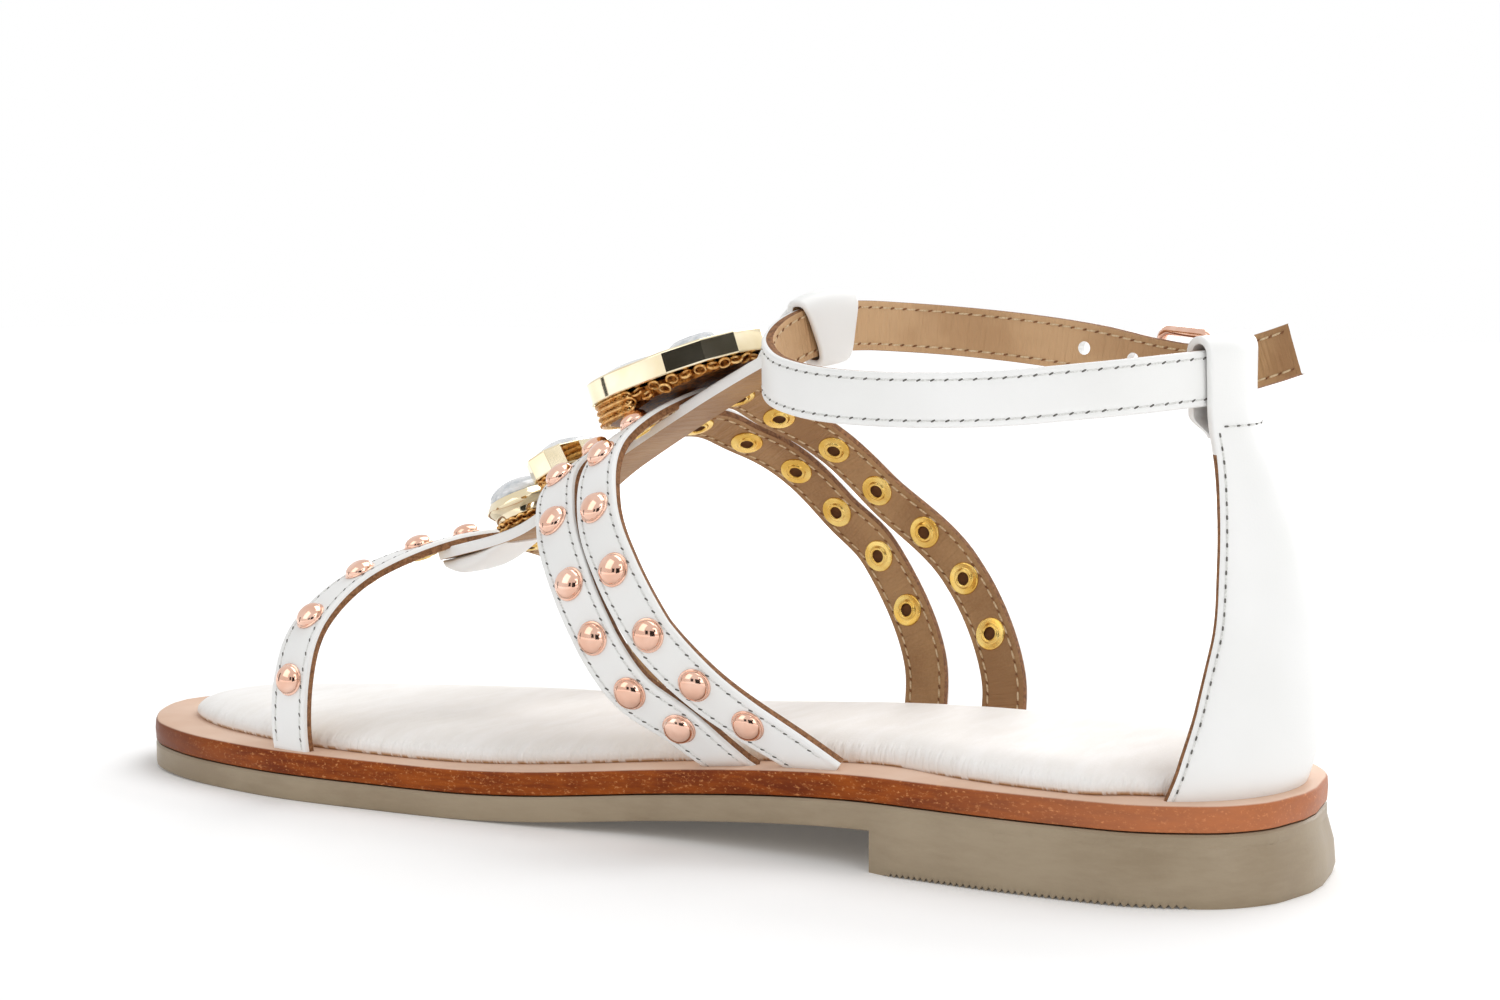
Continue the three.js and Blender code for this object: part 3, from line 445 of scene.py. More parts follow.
rim = mottle.between(0.3, 0.75).blend(colour(219, 184, 160), colour(229, 199, 178))
feed(
    Base_Color=top.blend(edge, rim),
    Roughness=0.30 + streaks * 0.25 + top * 0.12,
    Coat_Weight=0.08 - top * 0.05,
    Normal=(specks * 0.5 + streaks * 0.5).bump(0.3, 0.0002),
)
midsole.data.materials.append(board)
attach(midsole, "root")
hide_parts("midsole")

# Insole pad: foam under soft off-white leather, rolled over at its edge and glued to the board.
# Fine creases gather along its rolled edge. At its foot the down-facing underside is tan: part frayed edge,
# part painted shade in the gap against the board.
PAD_RIM = 7.2
PAD_EDGE = 2.6
PAD_CROWN = 2.2
PAD_ROLL = 14.0
PAD_GAP = 0.05
TIP_TURN = 1.2
TIP_REACH = 1.4 * PAD_RIM
PAD_MARGIN = [
    (0.0, 1.35, 1.35),
    (0.13, 1.05, 1.0),
    (0.32, 0.66, 0.85),
    (0.47, 1.1, 1.0),
    (0.6, 1.15, 1.1),
    (0.71, 1.3, 1.1),
    (0.8, 0.7, 0.7),
    (0.88, 0.5, 0.5),
    (0.915, 0.87, 0.87),
    (1.0, 0.95, 0.95),
]
PAD_SECTION = [
    # inset as a share of the roll, then shares of the edge's height and of the crown
    (0.05, 0.0, 0.0),
    (0.012, 0.14, 0.0),
    (0.0, 0.4, 0.0),
    (0.012, 0.66, 0.0),
    (0.045, 0.86, 0.0),
    (0.1, 1.0, 0.1),
    (0.2, 1.0, 0.36),
    (0.43, 1.0, 0.7),
    (0.7, 1.0, 0.9),
    (1.0, 1.0, 1.0),
    (1.5, 1.0, 1.0),
]
pad_medial = column(PAD_MARGIN, 1)
pad_lateral = column(PAD_MARGIN, 2)
pad_edge = outline(0, 1, 130, lambda at, side: (
    PAD_RIM * (pad_medial(at) if side > 0 else pad_lateral(at))))
toe_count = sum(1 for at, _, _ in pad_edge if at < 0.05) // 2
toe_tip = Vector(((pad_edge[toe_count][1] + pad_edge[-1 - toe_count][1]) / 2, along(0) + TIP_REACH))
for i in range(toe_count):
    turn = TIP_TURN * (i + 0.5) / (toe_count + 0.5)
    for index, end in ((i, pad_edge[toe_count]), (len(pad_edge) - 1 - i, pad_edge[-1 - toe_count])):
        pad_edge[index] = (
            pad_edge[index][0],
            toe_tip.x + (end[1] - toe_tip.x) * math.sin(turn) / math.sin(TIP_TURN),
            toe_tip.y + (end[2] - toe_tip.y) * (1 - math.cos(turn)) / (1 - math.cos(TIP_TURN)),
        )
pad_middle = (pad_edge[0][2] + pad_edge[len(pad_edge) // 2][2]) / 2


def pad_ring(inset, rise):
    ring = []
    for (at, x, y), (_, across, _) in zip(pad_edge, reversed(pad_edge)):
        spine = (x + across) / 2
        level = pad_middle + (y - pad_middle) * (1 - 2 * inset / SOLE_LENGTH)
        ring.append((spine + (x - spine) * (1 - inset / BALL_LATERAL), level,
                     midsole_top(level / SOLE_LENGTH + 0.5) + rise))
    return ring


pad = rings_piece("leather_pad", [
    pad_ring(inset * PAD_ROLL, PAD_GAP + edge_share * PAD_EDGE + crown * PAD_CROWN)
    for inset, edge_share, crown in PAD_SECTION
])
smooth(pad, 60)
soft, wire, feed = material("pad leather", IOR=1.45)
facing = wire.axis("ShaderNodeNewGeometry", 1, 2)
side_face = 1 - facing.between(0.75, 0.985)
creases = wire.noise(55.0, 4.0, 0.6, stretch=(1.0, 3.2, 1.0))
folds = wire.noise(150.0, 3.0, 0.65, stretch=(1.0, 3.4, 0.5))
grain = wire.noise(1700.0, 3.0, 0.6)
tone = (creases * 0.6 + folds * 0.4).between(0.35, 0.7)
# Tan on down-facing faces at the foot: frayed edge and painted shade in the gap under the roll.
fray_and_gap_shade = (1 - facing.between(-0.6, -0.1)) * folds.between(0.4, 0.55)
height = grain * 0.12 + folds * side_face * 2.4 + creases * 0.16
feed(
    Base_Color=fray_and_gap_shade.blend(tone.blend(colour(241, 238, 234), colour(248, 246, 244)),
                            colour(198, 160, 118)),
    Roughness=0.5 + folds * 0.14,
    Normal=height.bump(0.5, 0.0006),
)
pad.data.materials.append(soft)
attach(pad, "root")
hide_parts("insole_pad")

# Upper straps: white leather over tan lining leather, cut, glued and stitched near both edges.
# Their raw edges are brown, and the T-bar's are turned in. The toe strap, two bands and the T-bar,
# whose front end is rolled under the toe strap, cross over the instep.
LAST_MEDIAL = 37.0
LAST_LATERAL = 42.0
BELLY_HEIGHT = 30.0
CREST_HEIGHT = 98.0
LAST_ROUNDNESS = 0.92
STRAP_WALL = 2.2
TOE_STRAP_WIDTH = 8.8
BAND_WIDTH = 9.0
T_BAR_WIDTH = 14.0
T_BAR_TIP_WIDTH = 11.0
STITCH_INSET = 1.25
LAST_SECTIONS = [
    # share of the sole, half widths, tucks at the sole, widest level and crest, all as shares
    (0.05, 0.41, 0.36, 0.9, 0.9, 0.33, 0.21),
    (0.14, 0.81, 0.71, 0.92, 0.92, 0.37, 0.35),
    (0.22, 0.985, 0.905, 0.93, 0.93, 0.4, 0.43),
    (0.29, 1.0, 1.0, 0.92, 0.93, 0.47, 0.475),
    (0.36, 0.985, 1.0, 0.88, 0.92, 0.57, 0.53),
    (0.44, 0.97, 0.95, 0.78, 0.9, 0.7, 0.655),
    (0.52, 0.97, 0.905, 0.7, 0.86, 0.8, 0.775),
    (0.6, 0.92, 0.857, 0.68, 0.8, 0.87, 0.888),
    (0.68, 0.865, 0.833, 0.78, 0.79, 0.93, 0.98),
    (0.8, 0.838, 0.786, 0.85, 0.82, 1.0, 1.0),
]
# Routes over the last: share of the sole, angle around it from the medial edge, lift in walls
TOE_STRAP_ROUTE = [
    (0.224, 0, 0), (0.234, 21, 0), (0.234, 45, 0), (0.247, 65, 0.3), (0.272, 80, 0.5),
    (0.289, 97, 0.5), (0.305, 118, 0.1), (0.33, 143, 0), (0.355, 180, 0),
]
FRONT_BAND_ROUTE = [
    (0.606, 0, 0), (0.577, 12, 0), (0.546, 20, 0), (0.52, 31, 0), (0.496, 41, 0),
    (0.462, 57, 0.15), (0.442, 75, 1.0), (0.468, 88, 1.1), (0.492, 101, 1.0),
    (0.506, 113, 0.1), (0.551, 138, 0), (0.587, 148, 0), (0.634, 168, 0), (0.645, 180, 0),
]
REAR_BAND_ROUTE = [
    (0.683, 0, 0), (0.633, 11, 0), (0.597, 20.5, 0), (0.563, 31, 0), (0.533, 42, 0),
    (0.504, 55, 0.15), (0.488, 72, 1.0), (0.503, 86, 1.1), (0.53, 98, 1.0),
    (0.54, 111, 0.1), (0.592, 136, 0), (0.666, 154, 0), (0.706, 171, 0), (0.714, 180, 0),
]
T_BAR_ROUTE = [
    (0.259, 90, -0.65), (0.27, 90, -0.45), (0.3, 90, -0.45), (0.35, 90, -0.5), (0.4, 90, -0.2),
    (0.44, 90, 0.12), (0.52, 90, 0.2), (0.585, 90, 0.15), (0.613, 90, 0.15),
]
T_FOLD_ROUTE = [
    (0.259, 90, -0.95), (0.272, 90, -1.4), (0.3, 90, -1.42), (0.325, 90, -1.3), (0.345, 90, -0.9),
]
last_columns = [column(LAST_SECTIONS, index) for index in range(1, 7)]


def last_point(at, around):
    medial, lateral, tuck_medial, tuck_lateral, belly_share, crest_share = (c(at) for c in last_columns)
    on_medial = around <= 90
    half = medial * LAST_MEDIAL if on_medial else -lateral * LAST_LATERAL
    share = (around if on_medial else 180 - around) / 90
    lowest = -math.acos(tuck_medial if on_medial else tuck_lateral)
    turn = lowest + (math.pi / 2 - lowest) * share
    base = midsole_top(at)
    belly = base + belly_share * BELLY_HEIGHT
    level = max(0.0, math.cos(turn))
    if turn > 0:
        rise = (crest_share * CREST_HEIGHT - belly) * math.sin(turn)
        return Vector((half * level ** LAST_ROUNDNESS, along(at), belly + rise))
    rise = (belly - base) * math.sin(turn) / math.sin(-lowest)
    return Vector((half * level, along(at), belly + rise))


def last_normal(at, around):
    lengthwise = last_point(at + 0.002, around) - last_point(at - 0.002, around)
    crosswise = last_point(at, min(180, around + 0.5)) - last_point(at, max(0, around - 0.5))
    return lengthwise.cross(crosswise).normalized()


def through(points, share):
    """Place on the smooth curve through points, at a share of their count."""
    scaled = (len(points) - 1) * share
    i = min(int(scaled), len(points) - 2)
    w = scaled - i
    b, c = points[i], points[i + 1]
    a = points[i - 1] if i > 0 else 2 * b - c
    d = points[i + 2] if i + 2 < len(points) else 2 * c - b
    ab = (b - a).length ** 0.5
    bc = (c - b).length ** 0.5
    cd = (d - c).length ** 0.5
    start = ((b - a) / ab - (c - a) / (ab + bc) + (c - b) / bc) * bc
    end = ((c - b) / bc - (d - b) / (bc + cd) + (d - c) / cd) * bc
    return b + w * (start + w * (3 * (c - b) - 2 * start - end + w * (2 * (b - c) + start + end)))


class Route:
    """A strap's way: even frames of point, ahead, side and out at any distance along it."""

    def __init__(self, points, normals):
        self.points = points
        self.normals = normals
        self.lengths = [0.0]
        for before, after in zip(points, points[1:]):
            self.lengths.append(self.lengths[-1] + (after - before).length)
        self.total = self.lengths[-1]

    def pick(self, distance, values):
        low, high = 0, len(self.lengths) - 1
        while high - low > 1:
            middle = (low + high) // 2
            if self.lengths[middle] <= distance:
                low = middle
            else:
                high = middle
        span = self.lengths[high] - self.lengths[low]
        return values[low].lerp(values[high], clamp01((distance - self.lengths[low]) / span))

    def frame(self, distance):
        reach = 1.2
        inside = min(self.total, max(0.0, distance))
        point = self.pick(inside, self.points)
        before = self.pick(max(0.0, inside - reach), self.points)
        after = self.pick(min(self.total, inside + reach), self.points)
        ahead = (after - before).normalized()
        out = self.pick(inside, self.normals).normalized()
        side = ahead.cross(out).normalized()
        point = point + ahead * (distance - inside)
        return point, ahead, side, side.cross(ahead).normalized()

    def frames(self, start, end, steps):
        return [self.frame(start + (end - start) * i / steps) for i in range(steps + 1)]


def route_over_last(rows):
    guide = [Vector((at * 100, around / 3, lift * 4)) for at, around, lift in rows]
    points = []
    normals = []
    count = 26 * len(rows)
    for i in range(count + 1):
        p = through(guide, i / count)
        at, around = p.x / 100, min(180, max(0, p.y * 3))
        normal = last_normal(at, around)
        points.append(last_point(at, around) + normal * (p.z / 4 * STRAP_WALL))
        normals.append(normal)
    return Route(points, normals)


def strap_section(half, wall):
    """Section of a stitched strap as (across, up, finish): leather 0, lining 1, cut edge 2."""
    leather = [(0.0, 0.56, 2), (0.0, 0.62, 0), (0.03, 0.85, 0), (0.14, 0.95, 0), (0.42, 1.0, 0),
               (0.85, 1.01, 0), (STITCH_INSET, 0.955, 0), (1.65, 1.01, 0), (2.4, 1.035, 0),
               (half - 0.9, 1.05, 0)]
    lining = [(0.1, 0.04, 1), (0.4, 0.0, 1), (STITCH_INSET, 0.035, 1), (2.0, 0.0, 1), (half - 0.9, 0.0, 1)]
    right = [(half - inset, up * wall, kind) for inset, up, kind in leather]
    left = [(-x, up, kind) for x, up, kind in reversed(right)]
    under = [(-(half - inset), up * wall, kind) for inset, up, kind in lining]
    back = [(-x, up, kind) for x, up, kind in reversed(under)]
    return right + left + [(-half, 0.3 * wall, 2)] + under + back + [(half, 0.3 * wall, 2)]


def strap_piece(name, frames, width, wall, finishes):
    """A stitched strap swept along its frames; width(share) gives its width."""
    steps = len(frames) - 1
    count = len(strap_section(5, wall))
    kinds = [kind for _, _, kind in strap_section(5, wall)]
    length = sum((b[0] - a[0]).length for a, b in zip(frames, frames[1:]))

    def where(u, v):
        point, ahead, side, out = frames[round(u * steps)]
        x, up, _ = strap_section(width(u) / 2, wall)[round(v * count) % count]
        return spot(*(point + side * x + out * up))

    def finish_at(u, v):
        i = int(v * count)
        one, two = kinds[i % count], kinds[(i + 1) % count]
        return 2 if 2 in (one, two) and one != two else max(one, two)

    def pattern_at(u, v):
        x, up, _ = strap_section(width(u) / 2, wall)[round(v * count) % count]
        return u * length, x

    piece = laid_grid(name, steps, count, where, finish_at, pattern_at)
    close_up(piece)
    for finish in finishes:
        piece.data.materials.append(finish)
    smooth(piece, 50)
    return piece


white_leather, wire, feed = material("white leather", IOR=1.46, Coat_Weight=0.1, Coat_Roughness=0.3)
cloud = wire.noise(30.0, 2.0)
pores = wire.noise(2400.0, 3.0, 0.6)
wrinkle = wire.noise(420.0, 3.0, 0.6)
feed(
    Base_Color=cloud.between(0.3, 0.7).blend(colour(238, 238, 236), colour(245, 245, 244)),
    Roughness=0.36 + pores * 0.14,
    Normal=(pores * 0.55 + wrinkle * 0.45).bump(0.16, 0.0002),
)
tan_lining, wire, feed = material("tan lining leather", IOR=1.45)
laid = wire.node("ShaderNodeUVMap")
creases = wire.noise(1.0, 2.0, 0.6, vector=laid, stretch=(0.9, 0.08, 1.0)).between(0.3, 0.75)
cloud = wire.noise(70.0, 3.0)
pores = wire.noise(1900.0, 3.0, 0.6)
tone = (cloud * 0.7 + pores * 0.3).between(0.35, 0.66)
feed(
    Base_Color=tone.blend(colour(152, 112, 72), colour(176, 137, 94)),
    Roughness=0.44 + pores * 0.2,
    Normal=pores.bump(0.25, 0.0002, normal=creases.bump(0.5, 0.0004)),
)
cut_edge, wire, feed = material("brown cut edge", IOR=1.4)
fibre = wire.noise(1300.0, 4.0, 0.7)
feed(
    Base_Color=fibre.between(0.3, 0.7).blend(colour(104, 66, 38), colour(158, 112, 74)),
    Roughness=0.62 + fibre * 0.25,
    Normal=fibre.bump(0.4, 0.00025),
)
strap_finishes = [white_leather, tan_lining, cut_edge]
turned_finishes = [white_leather, tan_lining, white_leather]

toe_route = route_over_last(TOE_STRAP_ROUTE)
front_route = route_over_last(FRONT_BAND_ROUTE)
rear_route = route_over_last(REAR_BAND_ROUTE)
t_route = route_over_last(T_BAR_ROUTE)
fold_route = route_over_last(T_FOLD_ROUTE)
SINK = 1.6
T_BAR_START = 5.5
FOLD_START = 5.0
toe_strap = strap_piece("toe_strap", toe_route.frames(-SINK, toe_route.total + SINK, 130),
                        lambda u: TOE_STRAP_WIDTH, STRAP_WALL, strap_finishes)
front_band = strap_piece("front_band", front_route.frames(-SINK, front_route.total + SINK, 180),
                         lambda u: BAND_WIDTH, STRAP_WALL, strap_finishes)
rear_band = strap_piece("rear_band", rear_route.frames(-SINK, rear_route.total + SINK, 190),
                        lambda u: BAND_WIDTH, STRAP_WALL, strap_finishes)
t_bar = strap_piece("t_bar", t_route.frames(T_BAR_START, t_route.total, 110),
                    lambda u: T_BAR_WIDTH + (T_BAR_TIP_WIDTH - T_BAR_WIDTH) * ease((u - 0.75) / 0.25),
                    STRAP_WALL, turned_finishes)
FOLD_STEPS = 36
fold_frames = fold_route.frames(FOLD_START, fold_route.total, FOLD_STEPS)


def squared(value, power):
    """A sine or cosine pushed outward, which gives a round section flatter sides."""
    return math.copysign(abs(value) ** power, value)


def fold_where(u, v):
    point, ahead, side, out = fold_frames[round(u * FOLD_STEPS)]
    angle = 2 * math.pi * v
    full = clamp01(u / 0.22) ** 0.5
    half = (T_BAR_WIDTH - 0.6) / 2 * (0.8 + 0.2 * full)
    thick = 0.5 + 3.1 * full * (1 - 0.62 * ease((u - 0.35) / 0.65))
    x = half * squared(math.cos(angle), 0.45)
    up = STRAP_WALL - thick / 2 + thick / 2 * squared(math.sin(angle), 0.8)
    return spot(*(point + side * x + out * up))


t_fold = laid_grid("t_bar_fold", FOLD_STEPS, 40, fold_where)
close_up(t_fold)
t_fold.data.materials.append(white_leather)
smooth(t_fold, 60)
for piece in (toe_strap, front_band, rear_band, t_bar, t_fold):
    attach(piece, "root")
    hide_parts("upper")

# Ankle strap: one white strap lined in tan, from the buckle through the heel sleeve, round the
# inner side, through the T-bar's loop and back along the outer side to its free end.
ANKLE_WIDTH = 9.3
ANKLE_WALL = 2.2
ANKLE_HALF = 28.4
ANKLE_DROP = 12.0
HOLE_PITCH = 10.5
HOLE_RADIUS = 1.25
BUCKLE_PLACE = 0.86
ANKLE_ROUTE = [
    # shares of the half ring, of the sole's length and of the strap's level at the heel
    (-0.71, 0.89, 1.0), (-0.52, 0.91, 1.0), (-0.28, 0.926, 1.0), (0.0, 0.933, 0.995),
    (0.32, 0.922, 0.99), (0.6, 0.899, 0.98), (0.8, 0.865, 0.968), (0.93, 0.815, 0.953),
    (0.985, 0.75, 0.946), (0.965, 0.695, 0.95), (0.88, 0.661, 0.96), (0.74, 0.634, 0.976),
    (0.56, 0.617, 1.002), (0.33, 0.613, 1.04), (0.0, 0.62, 1.072), (-0.35, 0.631, 1.078),
    (-0.64, 0.648, 1.073), (-0.88, 0.682, 1.063), (-1.0, 0.74, 1.045), (-0.99, 0.79, 1.025),
    (-0.93, 0.836, 1.0), (-0.875, 0.87, 0.99), (-0.85, 0.9, 0.998), (-0.83, 0.925, 1.018),
    (-0.8, 0.948, 1.04),
]


def ankle_way():
    guide = [Vector((across * ANKLE_HALF, along(at), high * (CREST_HEIGHT - ANKLE_DROP)))
             for across, at, high in ANKLE_ROUTE]
    points = [through(guide, i / 600) for i in range(601)]
    normals = []
    for i in range(601):
        ahead = points[min(600, i + 1)] - points[max(0, i - 1)]
        normals.append(-ahead.cross(Vector((0, 0, 1))).normalized())
    return Route(points, normals)


ankle_route = ankle_way()


def ankle_distance(x, y):
    steps = [ankle_route.total * i / 1400 for i in range(1401)]
    return min(steps, key=lambda d: (ankle_route.pick(d, ankle_route.points).xy - Vector((x, y))).length)


ankle_lining_painted_sheen, wire, feed = material("ankle lining with painted sheen", IOR=1.45)
heelward = wire.axis("ShaderNodeTexCoord", 3, 1)
lining_mottle = wire.noise(70.0, 3.0).between(0.35, 0.66)
pores = wire.noise(1900.0, 3.0, 0.6)
laid = wire.node("ShaderNodeUVMap")
creases = wire.noise(1.0, 2.0, 0.6, vector=laid, stretch=(0.9, 0.08, 1.0)).between(0.3, 0.75)
# Forward of the heel the lining is painted paler: a painted sheen where it catches light. The mottle is
# random tone in both parts.
feed(
    Base_Color=heelward.between(0.075, 0.098).blend(
        lining_mottle.blend(colour(186, 147, 106), colour(206, 168, 126)),
        lining_mottle.blend(colour(154, 114, 74), colour(178, 139, 96)),
    ),
    Roughness=0.42 + pores * 0.2,
    Normal=pores.bump(0.25, 0.0002, normal=creases.bump(0.5, 0.0004)),
)
ankle_strap = strap_piece("ankle_strap_leather", ankle_route.frames(0, ankle_route.total, 300),
                          lambda u: ANKLE_WIDTH, ANKLE_WALL, [white_leather, ankle_lining_painted_sheen, cut_edge])
buckle_at = ankle_distance(-0.9 * ANKLE_HALF, along(BUCKLE_PLACE))


def stand_on(frame, up=0.0):
    """Matrix that stands a piece, made upright at the origin in metres, on a strap."""
    point, ahead, side, out = frame
    turn = Matrix((side, ahead, out)).transposed().to_4x4()
    return Matrix.Translation(spot(*(point + out * up))) @ turn


for i in (1, 2):
    deselect()
    bpy.ops.mesh.primitive_cylinder_add(vertices=32, radius=HOLE_RADIUS * 0.001, depth=0.008)
    punch = bpy.context.object
    punch.matrix_world = stand_on(ankle_route.frame(buckle_at - i * HOLE_PITCH), ANKLE_WALL / 2)
    modify(ankle_strap, "BOOLEAN", operation="DIFFERENCE", object=punch, solver="EXACT")
    bpy.data.objects.remove(punch)
smooth(ankle_strap, 50)
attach(ankle_strap, "root")
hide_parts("ankle_strap")

# Heel counter: one upright piece of white leather lined in tan, set into the midsole, whose top
# folds over the ankle strap as a sleeve. Loop of the T-bar: the same, round the strap in front.
COUNTER_WALL = 2.2
COUNTER_HALF = 23.6
LOOP_WALL = 1.3
LOOP_SLACK = 0.6
T_LOOP_WIDTH = 10.5
HEEL_LOOP_WIDTH = 17.0
COUNTER_SECTIONS = [
    # share of the way up, half width, plan radius and the back of the arc as shares
    (0.0, 0.985, 1.09, 0.988),
    (0.1, 0.955, 1.06, 0.996),
    (0.24, 0.865, 0.955, 1.0),
    (0.38, 0.765, 0.85, 0.999),
    (0.56, 0.635, 0.73, 0.988),
    (0.74, 0.51, 0.62, 0.973),
    (0.86, 0.43, 0.56, 0.96),
    (1.0, 0.41, 0.54, 0.953),
]
t_loop_at = ankle_distance(0, along(0.62)) + 1.6
heel_loop_at = ankle_distance(0, along(0.933))


def sleeve_piece(name, centre, width, taper=0.0, puff=0.0):
    """Sleeve round the ankle strap: width at mid height, narrowing downwards by taper."""
    half = ANKLE_WIDTH / 2 + LOOP_SLACK
    low, high = -LOOP_SLACK, ANKLE_WALL + LOOP_SLACK
    around = 56

    def where(u, v):
        angle = 2 * math.pi * u
        x = half * squared(math.cos(angle), 0.4)
        share = width * (1 + taper * x / half)
        point, ahead, side, out = ankle_route.frame(centre + (v - 0.5) * share)
        swell = puff * (1 - (2 * v - 1) ** 2)
        up = (low + high) / 2 + ((high - low) / 2 + swell) * squared(math.sin(angle), 0.62)
        x += swell * math.copysign(1, x)
        return spot(*(point + side * x + out * up))

    piece = laid_grid(name, around, 16, where)
    choose(piece)
    bpy.ops.object.mode_set(mode="EDIT")
    bpy.ops.mesh.select_all(action="SELECT")
    bpy.ops.mesh.remove_doubles(threshold=2e-6)
    bpy.ops.object.mode_set(mode="OBJECT")
    centre_point = spot(*ankle_route.frame(centre)[0])
    face = piece.data.polygons[0]
    if face.normal.dot(face.center - centre_point) < 0:
        piece.data.flip_normals()
    for finish in turned_finishes:
        piece.data.materials.append(finish)
    modify(piece, "SOLIDIFY", thickness=LOOP_WALL * 0.001, offset=1.0, material_offset=1,
           material_offset_rim=2, use_even_offset=True)
    modify(piece, "BEVEL", width=0.0005, segments=3, limit_method="ANGLE", angle_limit=math.radians(50))
    smooth(piece, 60)
    return piece


heel_foot = midsole_top(1) - 1.5
heel_level = ankle_route.frame(heel_loop_at)[0].z


def counter_spot(share, u, depth):
    """Place on the counter: share of the way up, u from its medial to its lateral front edge."""
    half, radius, back = (column(COUNTER_SECTIONS, index)(share) for index in (1, 2, 3))
    r = radius * COUNTER_HALF
    centre = along(back) - r
    spread = math.asin(min(0.95, half * COUNTER_HALF / r))
    angle = spread * (1 - 2 * u)
    size = r - depth
    level = heel_foot + (heel_level - heel_foot) * share
    return Vector((size * math.sin(angle), centre + size * math.cos(angle), level))


FOLD_WALL = 1.3
counter_ring = [(0.0, 0.5, 2), (0.002, 0.2, 2), (0.008, 0.04, 0)]
counter_ring += [(0.015 + 0.97 * i / 26, 0.0, 0) for i in range(27)]
counter_ring += [(0.992, 0.04, 0), (0.998, 0.2, 2), (1.0, 0.5, 2), (0.998, 0.8, 2), (0.99, 1.0, 1)]
counter_ring += [(0.985 - 0.97 * i / 26, 1.0, 1) for i in range(27)]
counter_ring += [(0.01, 1.0, 1), (0.002, 0.8, 2)]
sleeve_half = ANKLE_WIDTH / 2 + LOOP_SLACK
sleeve_reach = ANKLE_WALL / 2 + LOOP_SLACK + FOLD_WALL
fold_foot = sleeve_half - 1.2
fold_way = [(sleeve_reach, fold_foot * i / 5, 1.0, 0.0) for i in range(6)]
for i in range(1, 13):
    reach_out, high_out = math.cos(math.pi * i / 12), math.sin(math.pi * i / 12)
    fold_way.append((sleeve_reach * reach_out, fold_foot + sleeve_reach * high_out, reach_out, high_out))
fold_drop = fold_foot + sleeve_half + 1
fold_way += [(-sleeve_reach, fold_foot - fold_drop * i / 8, -1.0, 0.0) for i in range(1, 9)]
COUNTER_ROWS = 44
FLAP_ROWS = 6
FLAP_DROP = 3.6
BROWN_EDGE_TOP = 0.81
LINING_TOP = 0.86
counter_steps = COUNTER_ROWS + len(fold_way) - 1 + FLAP_ROWS


def fold_spot(u, depth, reach, high, reach_out, high_out):
    """Place on the fold round the ankle strap, in the strap's own frame."""
    point, ahead, side, out = ankle_route.frame(heel_loop_at + (0.5 - u) * HEEL_LOOP_WIDTH)
    return (point + side * (high - high_out * depth)
            + out * (ANKLE_WALL / 2 + reach - reach_out * depth))


def counter_place(share, u, share_in):
    """Place in the counter's wall below the fold, with its depth as a share of the wall."""
    near = ease((share - 0.8) / 0.2)
    wall = COUNTER_WALL + (FOLD_WALL - COUNTER_WALL) * near
    low = counter_spot(share, u, share_in * wall)
    level = (heel_level - heel_foot) * (share - 1)
    return low.lerp(fold_spot(u, share_in * wall, sleeve_reach, level, 1.0, 0.0), near)


def counter_where(u, v):
    across, share_in, _ = counter_ring[round(u * len(counter_ring)) % len(counter_ring)]
    row = round(v * counter_steps)
    if row <= COUNTER_ROWS:
        return spot(*counter_place(row / COUNTER_ROWS, across, share_in))
    if row < COUNTER_ROWS + len(fold_way):
        return spot(*fold_spot(across, share_in * FOLD_WALL, *fold_way[row - COUNTER_ROWS]))
    down = (row - COUNTER_ROWS - len(fold_way) + 1) / FLAP_ROWS
    reach, high, reach_out, high_out = fold_way[-1]
    free = fold_spot(across, share_in * FOLD_WALL, reach, high - FLAP_DROP * down, reach_out, high_out)
    share = clamp01((free.z - heel_foot) / (heel_level - heel_foot))
    laid = counter_spot(share, across, COUNTER_WALL + 0.15 + FOLD_WALL * (1 - share_in))
    return spot(*free.lerp(Vector((laid.x, laid.y, free.z)), ease(down)))


def counter_finish(u, v):
    i = int(u * len(counter_ring))
    one, two = (counter_ring[k % len(counter_ring)][2] for k in (i, i + 1))
    if 2 in (one, two):
        return 2 if v * counter_steps < COUNTER_ROWS * BROWN_EDGE_TOP else 0
    return max(one, two) if v * counter_steps < COUNTER_ROWS * LINING_TOP else 0


counter = laid_grid("heel_counter_leather", len(counter_ring), counter_steps,
                    counter_where, counter_finish)
close_up(counter)
for finish in strap_finishes:
    counter.data.materials.append(finish)
smooth(counter, 60)
t_loop = sleeve_piece("t_bar_loop", t_loop_at, T_LOOP_WIDTH, taper=0.2, puff=0.45)
RISE_STEPS = 20
loop_point, loop_ahead, loop_up, loop_out = ankle_route.frame(t_loop_at)
bar_point, _, bar_side, bar_out = t_route.frame(t_route.total * 0.9)
rise_start = bar_point + bar_out * (STRAP_WALL * 0.7)
rise_height = ANKLE_WIDTH / 2 + LOOP_SLACK + LOOP_WALL * 0.35
rise_end = loop_point + loop_up * rise_height + loop_out * ANKLE_WALL
rise_points = [rise_start, rise_start.lerp(rise_end, 0.35) + bar_out * 0.9,
               rise_start.lerp(rise_end, 0.72) + bar_out * 1.1, rise_end]


